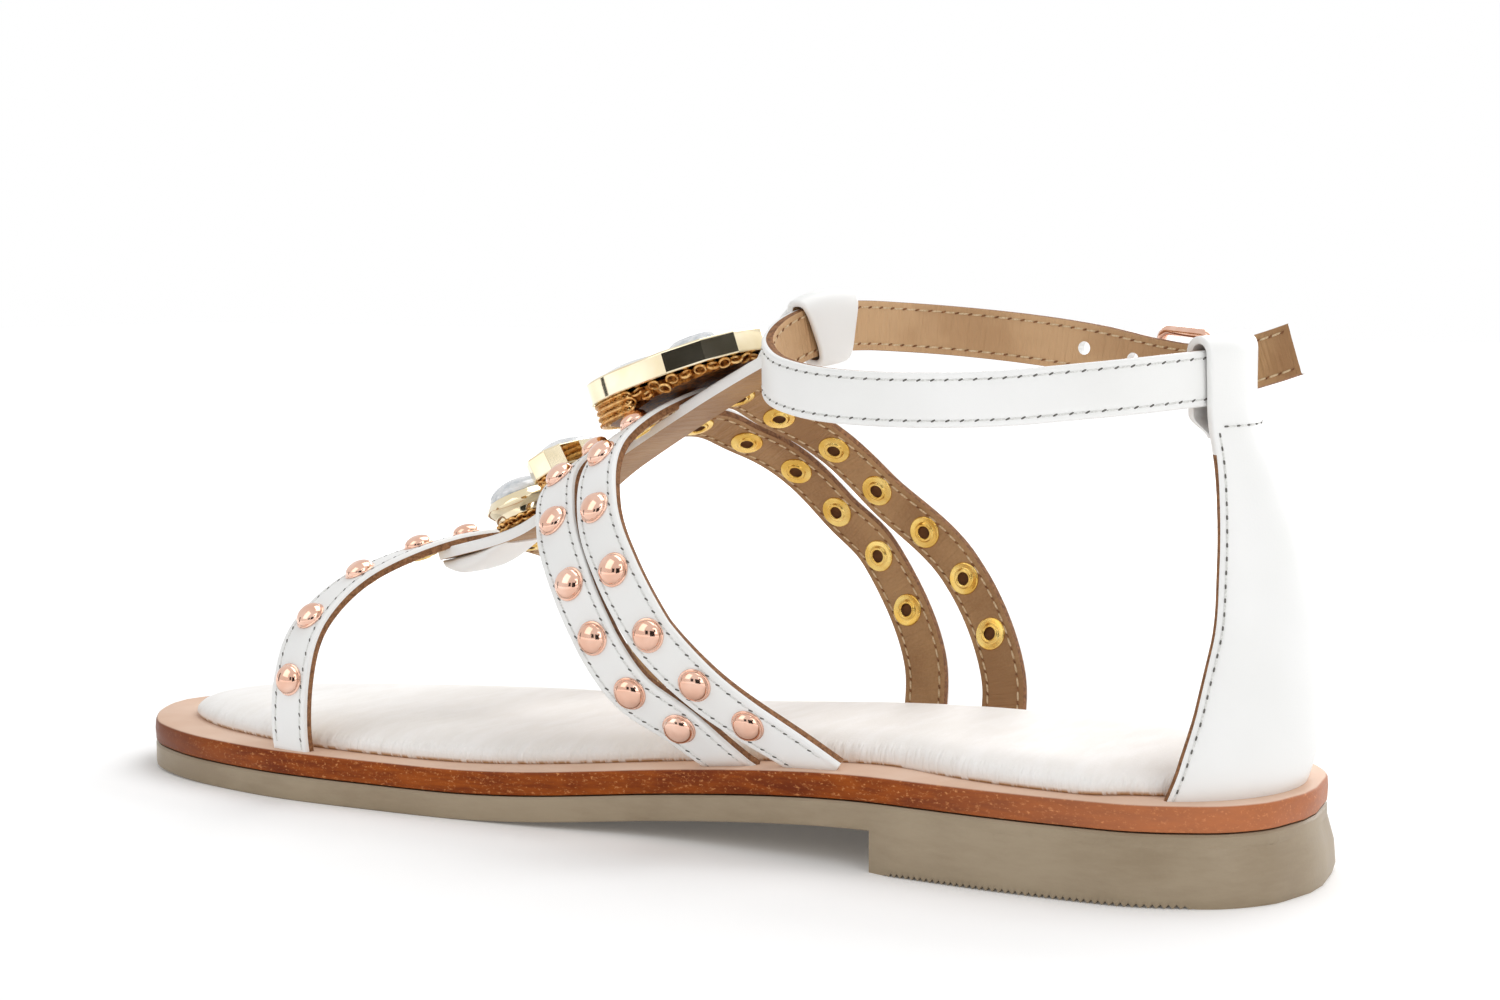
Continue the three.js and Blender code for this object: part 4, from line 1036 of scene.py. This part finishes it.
def rise_where(u, v):
    """The T-bar's end rising to fold over the ankle strap."""
    here = through(rise_points, u)
    after, before = through(rise_points, min(1.0, u + 0.02)), through(rise_points, max(0.0, u - 0.02))
    ahead = (after - before).normalized()
    turned = u if loop_ahead.dot(bar_side) > 0 else -u
    across = (bar_side * (1 - u) + loop_ahead * turned).normalized()
    out = across.cross(ahead).normalized()
    if out.z < 0:
        out = -out
    angle = 2 * math.pi * v
    half = (T_BAR_TIP_WIDTH + (T_LOOP_WIDTH - T_BAR_TIP_WIDTH) * u) / 2 - 0.4
    x = half * squared(math.cos(angle), 0.4)
    return spot(*(here + across * x + out * 0.65 * squared(math.sin(angle), 0.7)))


t_rise = laid_grid("t_bar_rise", RISE_STEPS, 36, rise_where)
close_up(t_rise)
t_rise.data.materials.append(white_leather)
smooth(t_rise, 60)
for piece, node in ((counter, "heel_counter"), (t_loop, "upper"), (t_rise, "upper")):
    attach(piece, "root")
    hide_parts(node)

# Stitches: white thread in two rows along every stitched strap, up the counter's front edges and
# across it under the fold, pulled a little into the leather between needle holes drawn as dark marks
# of painted shade. The lining's thread is sand-coloured; its holes are brown marks of painted shade.
STITCH_LENGTH = 1.9
STITCH_PITCH = 2.5
STITCH_WIDTH = 0.4
NEEDLE_LENGTH = 0.9
NEEDLE_WIDTH = 0.36
ROW_END = 1.5
COUNTER_STITCHES = 27
CROSS_ROW = 0.885


def repeat(name, base, matrices):
    """One piece made of a copy of a base piece's mesh at each matrix; the base is removed."""
    points = [vertex.co.copy() for vertex in base.data.vertices]
    faces = [tuple(face.vertices) for face in base.data.polygons]
    kinds = [face.material_index for face in base.data.polygons]
    finishes = list(base.data.materials)
    places = []
    shapes = []
    for matrix in matrices:
        first = len(places)
        places.extend(matrix @ point for point in points)
        shapes.extend(tuple(first + i for i in face) for face in faces)
    mesh = bpy.data.meshes.new(name)
    mesh.from_pydata(places, [], shapes)
    for i, face in enumerate(mesh.polygons):
        face.material_index = kinds[i % len(kinds)]
    for finish in finishes:
        mesh.materials.append(finish)
    bpy.data.objects.remove(base)
    piece = bpy.data.objects.new(name, mesh)
    bpy.context.scene.collection.objects.link(piece)
    smooth(piece, 60)
    return piece


def spun_thread(name, dark, light):
    made, wire, feed = material(name, Roughness=0.7, IOR=1.4)
    feed(Base_Color=wire.noise(2600.0, 2.0).between(0.3, 0.7).blend(dark, light))
    return made


thread = spun_thread("white thread", colour(208, 208, 204), colour(232, 232, 229))
tan_thread = spun_thread("sand thread", colour(196, 168, 128), colour(224, 202, 168))
# Needle holes are not cut: dark marks stand in for them, painted shade of the holes. The lining's holes use
# the brown cut edge's colour, also as painted shade.
needle, wire, feed = material("needle hole painted shade", Roughness=0.9, IOR=1.3)
feed(Base_Color=wire.noise(2000.0).blend(colour(74, 72, 68), colour(128, 126, 121)))


def one_stitch(finish, length, width):
    deselect()
    bpy.ops.mesh.primitive_uv_sphere_add(segments=6, ring_count=5, radius=0.0005)
    stitch = bpy.context.object
    for vertex in stitch.data.vertices:
        x, y, z = vertex.co * 1000
        run = squared(2 * z, 0.6) * length / 2
        vertex.co = Vector((x * width, run, y * width * 0.9)) * 0.001
    stitch.data.materials.append(finish)
    return stitch


def stitch_rows(route, offsets, up, slant, phase):
    """Matrices along a route, at each offset across it and height above its lining."""
    length = route.total - 2 * ROW_END
    count = int(length / STITCH_PITCH)
    turn = Matrix.Rotation(math.radians(slant), 4, "Z")
    rows = []
    for offset in offsets:
        for i in range(count):
            point, ahead, side, out = route.frame(ROW_END + (i + phase) * length / count)
            rows.append(stand_on((point + side * offset, ahead, side, out), up) @ turn)
    return rows


def both(width):
    return (width / 2 - STITCH_INSET, -width / 2 + STITCH_INSET)


outer_rows = []
outer_holes = []
inner_rows = []
inner_holes = []
for route, width, wall in (
        (toe_route, TOE_STRAP_WIDTH, STRAP_WALL), (front_route, BAND_WIDTH, STRAP_WALL),
        (rear_route, BAND_WIDTH, STRAP_WALL), (ankle_route, ANKLE_WIDTH, ANKLE_WALL)):
    for rows, up, slant, phase in (
            (outer_rows, wall * 0.965, 4, 0.5), (outer_holes, wall * 0.97, 24, 1.0),
            (inner_rows, 0.03, -4, 0.5), (inner_holes, 0.0, -24, 1.0)):
        rows.extend(stitch_rows(route, both(width), up, slant, phase))


def counter_stitch(share, u, depth, lean):
    here = counter_place(share, u, depth)
    beside = counter_place(share, u + 0.01, depth)
    above = counter_place(share + 0.01, u, depth)
    ahead = (above - here).normalized() if lean else (beside - here).normalized()
    out = (beside - here).cross(above - here).normalized() * (1 if depth < 1 else -1)
    if out.y < 0 and abs(u - 0.5) < 0.3 and depth < 1:
        out = -out
    side = ahead.cross(out).normalized()
    return stand_on((here, ahead, side, side.cross(ahead).normalized()), 0.0)


for i in range(COUNTER_STITCHES):
    share = 0.03 + 0.85 * i / COUNTER_STITCHES
    half_share = column(COUNTER_SECTIONS, 1)(share) * COUNTER_HALF
    edge_u = 1.4 / (2.4 * half_share)
    for u in (edge_u, 1 - edge_u):
        outer_rows.append(counter_stitch(share, u, -0.02, True))
        outer_holes.append(counter_stitch(share + 0.42 / COUNTER_STITCHES, u, -0.03, True))
for i in range(6):
    outer_rows.append(counter_stitch(CROSS_ROW, 0.19 + 0.62 * i / 5, -0.02, False))
    outer_holes.append(counter_stitch(CROSS_ROW, 0.128 + 0.62 * i / 5, -0.03, False))
stitching = (
    repeat("outer_stitches", one_stitch(thread, STITCH_LENGTH, STITCH_WIDTH), outer_rows),
    repeat("outer_needle_holes", one_stitch(needle, NEEDLE_LENGTH, NEEDLE_WIDTH), outer_holes),
    repeat("lining_stitches", one_stitch(tan_thread, STITCH_LENGTH, STITCH_WIDTH), inner_rows),
    repeat("lining_needle_holes", one_stitch(cut_edge, NEEDLE_LENGTH, NEEDLE_WIDTH), inner_holes),
)
for piece in stitching:
    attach(piece, "root")

# Studs and eyelets: a polished rose-gold dome outside and a brass eyelet with an open barrel on
# the lining, pressed together through the strap. The eyelet's hole is drawn as a dark brown cap and inner
# wall: painted shade.
STUD_RADIUS = 3.15
STUD_RISE = 1.75
EYELET_RADIUS = 3.2
STUD_ROWS = [
    # name, route, side of the foot it counts from, shares of the strap's length
    ("toe_medial", toe_route, 1, (0.11, 0.2, 0.3, 0.397, 0.485)),
    ("toe_lateral", toe_route, -1, (0.11, 0.205, 0.3, 0.395)),
    ("front_medial", front_route, 1, (0.07, 0.125, 0.184, 0.24, 0.315, 0.388, 0.44)),
    ("front_lateral", front_route, -1, (0.122, 0.187, 0.252, 0.314, 0.38, 0.443)),
    ("rear_medial", rear_route, 1, (0.077, 0.134, 0.191, 0.255, 0.32, 0.384, 0.436)),
    ("rear_lateral", rear_route, -1, (0.09, 0.15, 0.21, 0.272, 0.33, 0.397, 0.452)),
]


def turned_piece(name, profile, sides, kinds=None):
    """A form turned on a lathe from (radius, height) points in millimetres, at the origin."""
    steps = len(profile) - 1

    def where(u, v):
        radius, height = profile[round(v * steps)]
        angle = 2 * math.pi * u
        return Vector((radius * math.cos(angle), radius * math.sin(angle), height)) * 0.001

    def finish_at(u, v):
        return kinds[min(steps - 1, int(v * steps))] if kinds else 0

    piece = laid_grid(name, sides, steps, where, finish_at)
    close_up(piece)
    return piece


def dome(radius, rise, foot, steps):
    return [(radius * math.cos(math.pi / 2 * i / steps), foot + rise * math.sin(math.pi / 2 * i / steps))
            for i in range(1, steps + 1)]


rose_gold, wire, feed = material("rose gold", Metallic=1.0, Coat_Weight=0.3, Coat_Roughness=0.04)
tarnish = wire.noise(190.0, 3.0)
feed(
    Base_Color=tarnish.between(0.35, 0.7).blend(colour(232, 184, 160), colour(244, 204, 184)),
    Roughness=0.07 + tarnish * 0.07,
    Normal=wire.noise(500.0, 2.0).bump(0.05, 0.0001),
)
brass, wire, feed = material("brass eyelet", Metallic=1.0)
tarnish = wire.noise(260.0, 3.0)
feed(
    Base_Color=tarnish.between(0.35, 0.7).blend(colour(230, 186, 92), colour(248, 218, 136)),
    Roughness=0.16 + tarnish * 0.16,
    Normal=wire.noise(900.0, 2.0).bump(0.1, 0.0001),
)
# Dark brown on the eyelet's cap and inner wall: painted shade for the depth of its hole.
eyelet_hole_shade, wire, feed = material("eyelet hole painted shade", Metallic=0.8, Roughness=0.5)
feed(Base_Color=wire.noise(600.0).blend(colour(70, 42, 22), colour(112, 72, 40)))
stud_base = STRAP_WALL + 0.06
stud = turned_piece("stud", [(0.0, stud_base - 0.3), (STUD_RADIUS - 0.5, stud_base - 0.3),
                             (STUD_RADIUS - 0.06, stud_base), (STUD_RADIUS, stud_base + 0.12),
                             (STUD_RADIUS - 0.08, stud_base + 0.26), (STUD_RADIUS - 0.3, stud_base + 0.3)]
                    + dome(STUD_RADIUS - 0.3, STUD_RISE, stud_base + 0.34, 11), 36)
stud.data.materials.append(rose_gold)
eyelet_profile = [(0.0, -0.06), (1.0, -0.06), (1.15, -0.14), (1.22, -0.5), (1.38, -0.66), (1.62, -0.68),
                  (1.82, -0.56), (1.95, -0.36), (2.2, -0.3), (2.9, -0.36), (3.1, -0.3),
                  (EYELET_RADIUS, -0.14), (EYELET_RADIUS - 0.05, 0.1), (0.0, 0.1)]
eyelet = turned_piece("eyelet", eyelet_profile, 32, [1, 1, 1] + [0] * 10)
eyelet.data.materials.append(brass)
eyelet.data.materials.append(eyelet_hole_shade)
stud_frames = []
for name, route, side, shares in STUD_ROWS:
    for i, share in enumerate(shares):
        distance = route.total * (share if side > 0 else 1 - share)
        stud_frames.append((f"stud_{name}_{i + 1}", route.frame(distance)))
matrices = [stand_on(place) for _, place in stud_frames]
studs = repeat("stud_heads", stud, matrices)
eyelets = repeat("stud_eyelets", eyelet, matrices)
for piece in (studs, eyelets):
    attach(piece, "root")
    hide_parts(*[name for name, _ in stud_frames])

# Buckle: a small rose-gold wire frame and prong on the outer side, with the white chape folded
# round its rear bar. It is fastened, as in the photo.
BUCKLE_WIRE = 1.9
BUCKLE_LENGTH = 13.5
BUCKLE_SLACK = 0.6
BUCKLE_CORNER = 2.4
PRONG_WIRE = 1.4
JOIN_GAP = 0.3
front_seat = ankle_route.frame(buckle_at - BUCKLE_LENGTH / 2)
rear_seat = ankle_route.frame(buckle_at + BUCKLE_LENGTH / 2)
bar_reach = JOIN_GAP + BUCKLE_WIRE / 2
front_bar = front_seat[0] + front_seat[3] * (ANKLE_WALL + bar_reach)
rear_bar = rear_seat[0] - rear_seat[3] * bar_reach


def tube_piece(name, points, wire_width, closed=False, sides=14):
    """Round wire bent along points in millimetres."""
    steps = len(points) if closed else len(points) - 1
    frames = []
    for i, point in enumerate(points):
        after = points[(i + 1) % len(points)] if closed else points[min(i + 1, len(points) - 1)]
        before = points[i - 1] if closed else points[max(i - 1, 0)]
        ahead = (after - before).normalized()
        side = ahead.cross(Vector((0.31, 0.2, 0.93))).normalized()
        frames.append((point, side, side.cross(ahead).normalized()))

    def where(u, v):
        point, side, up = frames[round(u * steps) % len(frames)]
        angle = 2 * math.pi * v
        return spot(*(point + (side * math.cos(angle) + up * math.sin(angle)) * wire_width / 2))

    piece = laid_grid(name, steps, sides, where)
    close_up(piece)
    smooth(piece, 60)
    return piece


def buckle_points():
    lengthwise = rear_bar - front_bar
    ahead = lengthwise.normalized()
    face = ahead.cross(Vector((0, 0, 1))).normalized()
    upright = face.cross(ahead).normalized()
    middle = (front_bar + rear_bar) / 2
    long = lengthwise.length / 2
    high = ANKLE_WIDTH / 2 + BUCKLE_SLACK + BUCKLE_WIRE / 2
    radius = BUCKLE_CORNER
    points = []
    for cx, cy, turn in ((1, 1, 0), (-1, 1, 1), (-1, -1, 2), (1, -1, 3)):
        for k in range(7):
            angle = (turn + k / 6) * math.pi / 2
            points.append(middle + ahead * (cx * (long - radius) + radius * math.cos(angle))
                          + upright * (cy * (high - radius) + radius * math.sin(angle)))
    return points


touch = (BUCKLE_WIRE + PRONG_WIRE) / 2 + JOIN_GAP
bar_way = (front_bar - rear_bar).normalized()
prong_start = rear_bar + bar_way * touch
prong_rest = front_bar + front_seat[3] * touch
prong_points = [prong_start, prong_start.lerp(prong_rest, 0.5) + front_seat[3] * 0.25 * STRAP_WALL,
                prong_rest, prong_rest + bar_way * 0.6 * BUCKLE_WIRE]
CHAPE_STEPS = 16


def chape_where(u, v):
    angle = math.pi * (1.05 + 0.9 * v)
    radius = BUCKLE_WIRE / 2 + (0.25 if 0.2 < u < 0.7 else 1.15)
    high = (ANKLE_WIDTH / 2 - 0.4) * (1 if u < 0.45 else -1)
    point, ahead, side, out = rear_seat
    return spot(*(rear_bar + side * high + ahead * radius * math.cos(angle)
                  + out * radius * math.sin(angle)))


chape = laid_grid("buckle_chape", 4, CHAPE_STEPS, chape_where)
close_up(chape)
chape.data.materials.append(white_leather)
modify(chape, "BEVEL", width=0.0003, segments=2, limit_method="ANGLE", angle_limit=math.radians(50))
smooth(chape, 50)
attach(chape, "root")
prong_curve = [through(prong_points, i / 20) for i in range(21)]
buckle = tube_piece("buckle_wire_frame", buckle_points(), BUCKLE_WIRE, closed=True)
prong = tube_piece("buckle_wire_prong", prong_curve, PRONG_WIRE)
for piece, node in ((buckle, "buckle_frame"), (prong, "buckle_prong")):
    piece.data.materials.append(rose_gold)
    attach(piece, "root")
    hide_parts(node)

# Ornaments on the T-bar: cast pale-gold settings with mirror walls, glued on openwork of warm gold
# wire links. The front one holds a round cabochon, the middle and the rear ones faceted glass.
SETTING_WALL = 1.2
SETTING_RISE = 4.4
POCKET_DEPTH = 2.0
CROWN_RISE = 2.2
ORNAMENTS = [
    # name, place, tilt, rise in walls, length, width, sides, squareness
    ("front", 0.353, 25, 1.4, 15.2, 15.2, 48, 1.0),
    ("middle", 0.41, 30, 2.4, 12.0, 23.0, 12, 0.75),
    ("rear", 0.514, 19, 3.7, 38.5, 28.0, 14, 0.85),
]
STONES = [
    # setting, name, place along and across, length and width as shares, dome
    ("front", "stone_front", 0, 0, 1, 1, 1.6),
    ("middle", "stone_middle", 0, 0, 1, 1, 0.9),
    ("rear", "stone_rear_large", -0.42, 0, 0.5, 0.82, 0.85),
    ("rear", "stone_rear_medial", 0.42, 0.44, 0.36, 0.36, 0.75),
    ("rear", "stone_rear_lateral", 0.42, -0.44, 0.36, 0.36, 0.75),
]
pale_gold, wire, feed = material("pale gold mirror", Metallic=1.0, Coat_Weight=0.2, Coat_Roughness=0.03)
film = wire.noise(120.0, 3.0)
feed(
    Base_Color=film.between(0.3, 0.7).blend(colour(236, 220, 184), colour(246, 234, 206)),
    Roughness=0.06 + film * 0.06,
    Normal=wire.noise(160.0, 2.0).bump(0.06, 0.0003),
)
mesh_gold, wire, feed = material("warm gold wire", Metallic=1.0)
film = wire.noise(700.0, 3.0)
feed(
    Base_Color=film.between(0.35, 0.65).blend(colour(206, 150, 84), colour(240, 200, 136)),
    Roughness=0.2 + film * 0.2,
)
glass, wire, feed = material("clear cut glass", Transmission_Weight=0.25, IOR=1.8, Coat_Weight=1.0,
                             Coat_Roughness=0.02)
cloud = wire.noise(420.0, 2.0).between(0.35, 0.62)
feed(Base_Color=cloud.blend(colour(214, 220, 226), colour(250, 251, 252)), Roughness=0.02 + cloud * 0.03)


def setting_outline(length, width, sides, square, round_front=False, phase=0.5):
    """Plan of a setting: flat panels all round, or panels behind and a curve in front."""
    points = []
    turns = [(i + phase) / sides for i in range(sides)]
    if round_front:
        turns = [turn for turn in turns if turn < 0.5] + [0.5 + 0.5 / sides + (0.5 - 1 / sides) * i / 30
                                                          for i in range(31)]
    for turn in turns:
        angle = 2 * math.pi * turn
        points.append(Vector((width / 2 * squared(math.cos(angle), square),
                              length / 2 * squared(math.sin(angle), square))))
    return points


def stacked_piece(name, levels):
    """Closed solid at the origin from (points, height) levels of equal count, in millimetres."""
    middle_low = sum(levels[0][0], Vector((0, 0))) / len(levels[0][0])
    middle_high = sum(levels[-1][0], Vector((0, 0))) / len(levels[-1][0])
    count = len(levels[0][0])
    stack = [([middle_low] * count, levels[0][1])] + levels + [([middle_high] * count, levels[-1][1])]

    def where(u, v):
        points, height = stack[round(v * (len(stack) - 1))]
        point = points[round(u * count) % count]
        return Vector((point.x, point.y, height)) * 0.001

    piece = laid_grid(name, count, len(stack) - 1, where)
    close_up(piece)
    return piece


def inset_points(points, inset):
    moved = []
    for i, point in enumerate(points):
        before, after = points[i - 1], points[(i + 1) % len(points)]
        run = (after - before).normalized()
        moved.append(point - Vector((run.y, -run.x)) * inset)
    return moved


FRONT_BEZEL = [
    # inset and height of the rounded bezel, in millimetres
    (1.5, 0.0), (1.3, 0.15), (1.15, 1.3), (0.5, 2.0), (0.1, 2.5), (0.0, 2.8), (0.12, 3.15), (0.5, 3.6),
    (0.9, 4.1), (1.05, SETTING_RISE),
]
LINK_PITCH = 1.0
LINK_RADIUS = 1.05
LINK_WIRE = 0.27
CHAIN_ROWS = {"front": (-0.8,), "middle": (-0.9,), "rear": (-0.9, -2.1, -3.3)}
CHAIN_INSET = {"front": 1.9, "middle": 1.5, "rear": 1.6}
chain_places = []
for name, at, tilt, rise, length, width, sides, square in ORNAMENTS:
    seat = last_point(at, 90) + last_normal(at, 90) * (rise * STRAP_WALL)
    matrix = Matrix.Translation(spot(*seat)) @ Matrix.Rotation(math.radians(tilt), 4, "X")
    wall = setting_outline(length, width, sides, square, name == "rear")
    levels = [(inset_points(wall, 0.2), 0.0), (wall, 0.2), (wall, SETTING_RISE - 0.3),
              (inset_points(wall, 0.3), SETTING_RISE)]
    if name == "front":
        levels = [(inset_points(wall, inset), height) for inset, height in FRONT_BEZEL]
    setting = stacked_piece(f"{name}_setting_gold", levels)
    for stone_setting, stone, stone_along, across, long_share, wide_share, stone_dome in STONES:
        if stone_setting != name:
            continue
        long = long_share * (length - 2 * SETTING_WALL)
        wide = wide_share * (width - 2 * SETTING_WALL)
        centre = Vector((across * width / 2, stone_along * length / 2))
        facets = 40 if name == "front" else 12
        rim = [point + centre for point in setting_outline(long, wide, facets, square)]
        floor = SETTING_RISE - POCKET_DEPTH
        pocket = stacked_piece("pocket", [(rim, floor), (rim, SETTING_RISE + 2)])
        modify(setting, "BOOLEAN", operation="DIFFERENCE", object=pocket, solver="EXACT")
        bpy.data.objects.remove(pocket)
        crown = stone_dome * CROWN_RISE
        levels = [(0.12, floor + 0.1, False), (0.03, SETTING_RISE - 0.2, False)]
        if name == "front":
            turns = [math.pi * k / 18 for k in range(1, 9)]
            levels += [(1 - math.cos(turn), SETTING_RISE + crown * math.sin(turn), False) for turn in turns]
        else:
            levels += [(0.06, SETTING_RISE + 0.15 * crown, False), (0.26, SETTING_RISE + 0.62 * crown, True),
                       (0.42, SETTING_RISE + 0.92 * crown, False), (0.6, SETTING_RISE + crown, True)]
        shifted = [point + centre for point in setting_outline(long, wide, facets, square, phase=1.0)]
        gem = stacked_piece(f"{stone}_glass", [
            ([centre + (point - centre) * (1 - share) for point in (shifted if turned else rim)], height)
            for share, height, turned in levels])
        if name != "front":
            modify(gem, "TRIANGULATE")
        gem.data.materials.append(glass)
        gem.data.transform(matrix)
        smooth(gem, 60 if name == "front" else 8)
        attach(gem, "root")
        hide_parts(stone)
    for row, height in enumerate(CHAIN_ROWS[name]):
        way = inset_points(wall, CHAIN_INSET[name])
        length_round = sum((b - a).length for a, b in zip(way, way[1:] + way[:1]))
        links = int(length_round / LINK_PITCH)
        for i in range(links):
            place = (i + 0.5 * row) / links * len(way)
            one, two = way[int(place) % len(way)], way[(int(place) + 1) % len(way)]
            spot_at = one.lerp(two, place % 1)
            if row and spot_at.y > (0.3 - 0.2 * row) * length:
                continue
            run = (two - one).normalized()
            turn = Matrix.Rotation(math.atan2(run.y, run.x), 4, "Z")
            lean = Matrix.Rotation(math.radians(38 if i % 2 else 142), 4, "X")
            chain_places.append(matrix @ Matrix.Translation(
                Vector((spot_at.x, spot_at.y, height)) * 0.001) @ turn @ lean)
    modify(setting, "BEVEL", width=0.00022, segments=2, limit_method="ANGLE", angle_limit=math.radians(40))
    setting.data.materials.append(pale_gold)
    setting.data.transform(matrix)
    smooth(setting, 24 if name == "front" else 10)
    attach(setting, "root")
    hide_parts(f"setting_{name}")

deselect()
bpy.ops.mesh.primitive_torus_add(major_segments=14, minor_segments=6,
                                 major_radius=LINK_RADIUS * 0.001, minor_radius=LINK_WIRE * 0.001)
link = bpy.context.object
link.data.materials.append(mesh_gold)
chain = repeat("gold_chain", link, chain_places)
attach(chain, "root")
# The openwork under the settings is painted dark brown-gold: painted shade where the settings cover it.
openwork_shade_gold, wire, feed = material("gold openwork painted shade", Metallic=1.0)
film = wire.noise(900.0, 4.0, 0.7)
feed(
    Base_Color=film.between(0.4, 0.6).blend(colour(84, 42, 16), colour(176, 116, 54)),
    Roughness=0.3 + film * 0.3,
)
for name in ("front", "middle", "rear"):
    fret = bpy.data.objects[f"fretwork_{name}"]
    fret.data.materials.clear()
    fret.data.materials.append(openwork_shade_gold)

# Studio: a plain pale floor that glows, painted light, faintly near the shoe and more away from it;
# large soft lamps overhead and at the sides, and dark boards beside the lens and round the shoe that
# only polished metal shows. The camera keeps the photo's view.
deselect()
bpy.ops.mesh.primitive_plane_add(size=6.0, location=(0, 0, 0))
floor = bpy.context.object
floor.name = "studio_floor"
paper, wire, feed = material("floor paper with painted glow", Roughness=0.85, IOR=1.3, Emission_Strength=1.0)
here = wire.node("ShaderNodeTexCoord", out=3)
away = wire.node("ShaderNodeVectorMath", {"operation": "LENGTH"}, {0: here}, out=1)
feed(
    Base_Color=wire.noise(3.0).blend(colour(249, 249, 249), colour(252, 252, 252)),
    # Emission: painted light, faint by the shoe and brighter away from it.
    Emission_Color=away.between(0.17, 0.7).blend((0.07, 0.07, 0.07, 1), (0.6, 0.6, 0.6, 1)),
)
floor.data.materials.append(paper)


def lamp(name, place, aim, size, power):
    data = bpy.data.lights.new(name, "AREA")
    data.shape = "RECTANGLE"
    data.size, data.size_y = size
    data.energy = power
    thing = bpy.data.objects.new(name, data)
    thing.location = place
    thing.rotation_euler = (Vector(aim) - Vector(place)).to_track_quat("-Z", "Y").to_euler()
    bpy.context.scene.collection.objects.link(thing)


lamp("overhead", (-0.42, 0.15, 0.95), (0, 0, 0), (0.9, 0.9), 5.2)
lamp("behind", (-0.8, 0.0, 0.3), (0, 0, 0.02), (0.9, 0.3), 3.0)
lamp("camera_side", (0.85, -0.5, 0.75), (0, 0, 0.04), (0.7, 0.9), 2.0)
lamp("heel_side", (0.5, 1.0, 0.6), (0, 0, 0.04), (0.7, 0.8), 3.0)
world = bpy.data.worlds.new("studio air")
world.use_nodes = True
air = world.node_tree.nodes["Background"]
sky = Wire(world.node_tree)
seen = sky.node("ShaderNodeLightPath", out=0)
mirrored = sky.node("ShaderNodeLightPath", out=3)
world.node_tree.links.new((seen * 0.5 + mirrored * 0.4 + 0.5).socket, air.inputs["Strength"])
air.inputs["Color"].default_value = (1, 1, 1, 1)
bpy.context.scene.world = world
bpy.context.scene.view_settings.view_transform = "Standard"

CAMERA_PLACE = (407.8, 267.0, 103.9)
CAMERA_RIGHT = Vector((-0.5269558, 0.84989269, 0.0))
CAMERA_UP = Vector((-0.07761884, -0.04812572, 0.99582088))
CAMERA_BACK = Vector((0.84634089, 0.52475359, 0.09132782))
turn = Matrix((CAMERA_RIGHT, CAMERA_UP, CAMERA_BACK)).transposed().to_4x4()
black, wire, feed = material("black card", Roughness=0.9)
feed(Base_Color=wire.noise(2.0).blend(colour(18, 18, 18), colour(26, 26, 26)))


def dark_board(name, stand, width, height):
    """A board that only mirrored light meets."""
    deselect()
    bpy.ops.mesh.primitive_plane_add(size=1.0)
    card = bpy.context.object
    card.name = name
    card.data.materials.append(black)
    card.data.transform(stand @ Matrix.Diagonal((width, height, 1.0, 1.0)))
    card.visible_camera = False
    card.visible_diffuse = False
    card.visible_shadow = False
    card.visible_transmission = False


dark_board("dark_card", Matrix.Translation(spot(*CAMERA_PLACE) + CAMERA_BACK * 0.05) @ turn, 0.3, 0.3)
for name, place, facing, width, height in (
        ("side_board", (0.459, 0.01, 0.135), (0.992, -0.003, 0.129), 0.11, 0.14),
        ("heel_board", (0.264, 0.346, 0.251), (0.566, 0.731, 0.382), 0.11, 0.14),
        ("toe_board", (0.115, -0.27, 0.05), (0.358, -0.914, 0.0), 0.03, 0.1)):
    aim = Vector(facing).to_track_quat("Z", "Y").to_matrix().to_4x4()
    dark_board(name, Matrix.Translation(place) @ aim, width, height)

lens = bpy.data.cameras.new("camera")
lens.sensor_width = 36.0
lens.lens = 61.42
lens.clip_start = 0.01
camera = bpy.data.objects.new("camera", lens)
camera.matrix_world = Matrix.Translation(spot(*CAMERA_PLACE)) @ turn
bpy.context.scene.collection.objects.link(camera)
bpy.context.scene.camera = camera
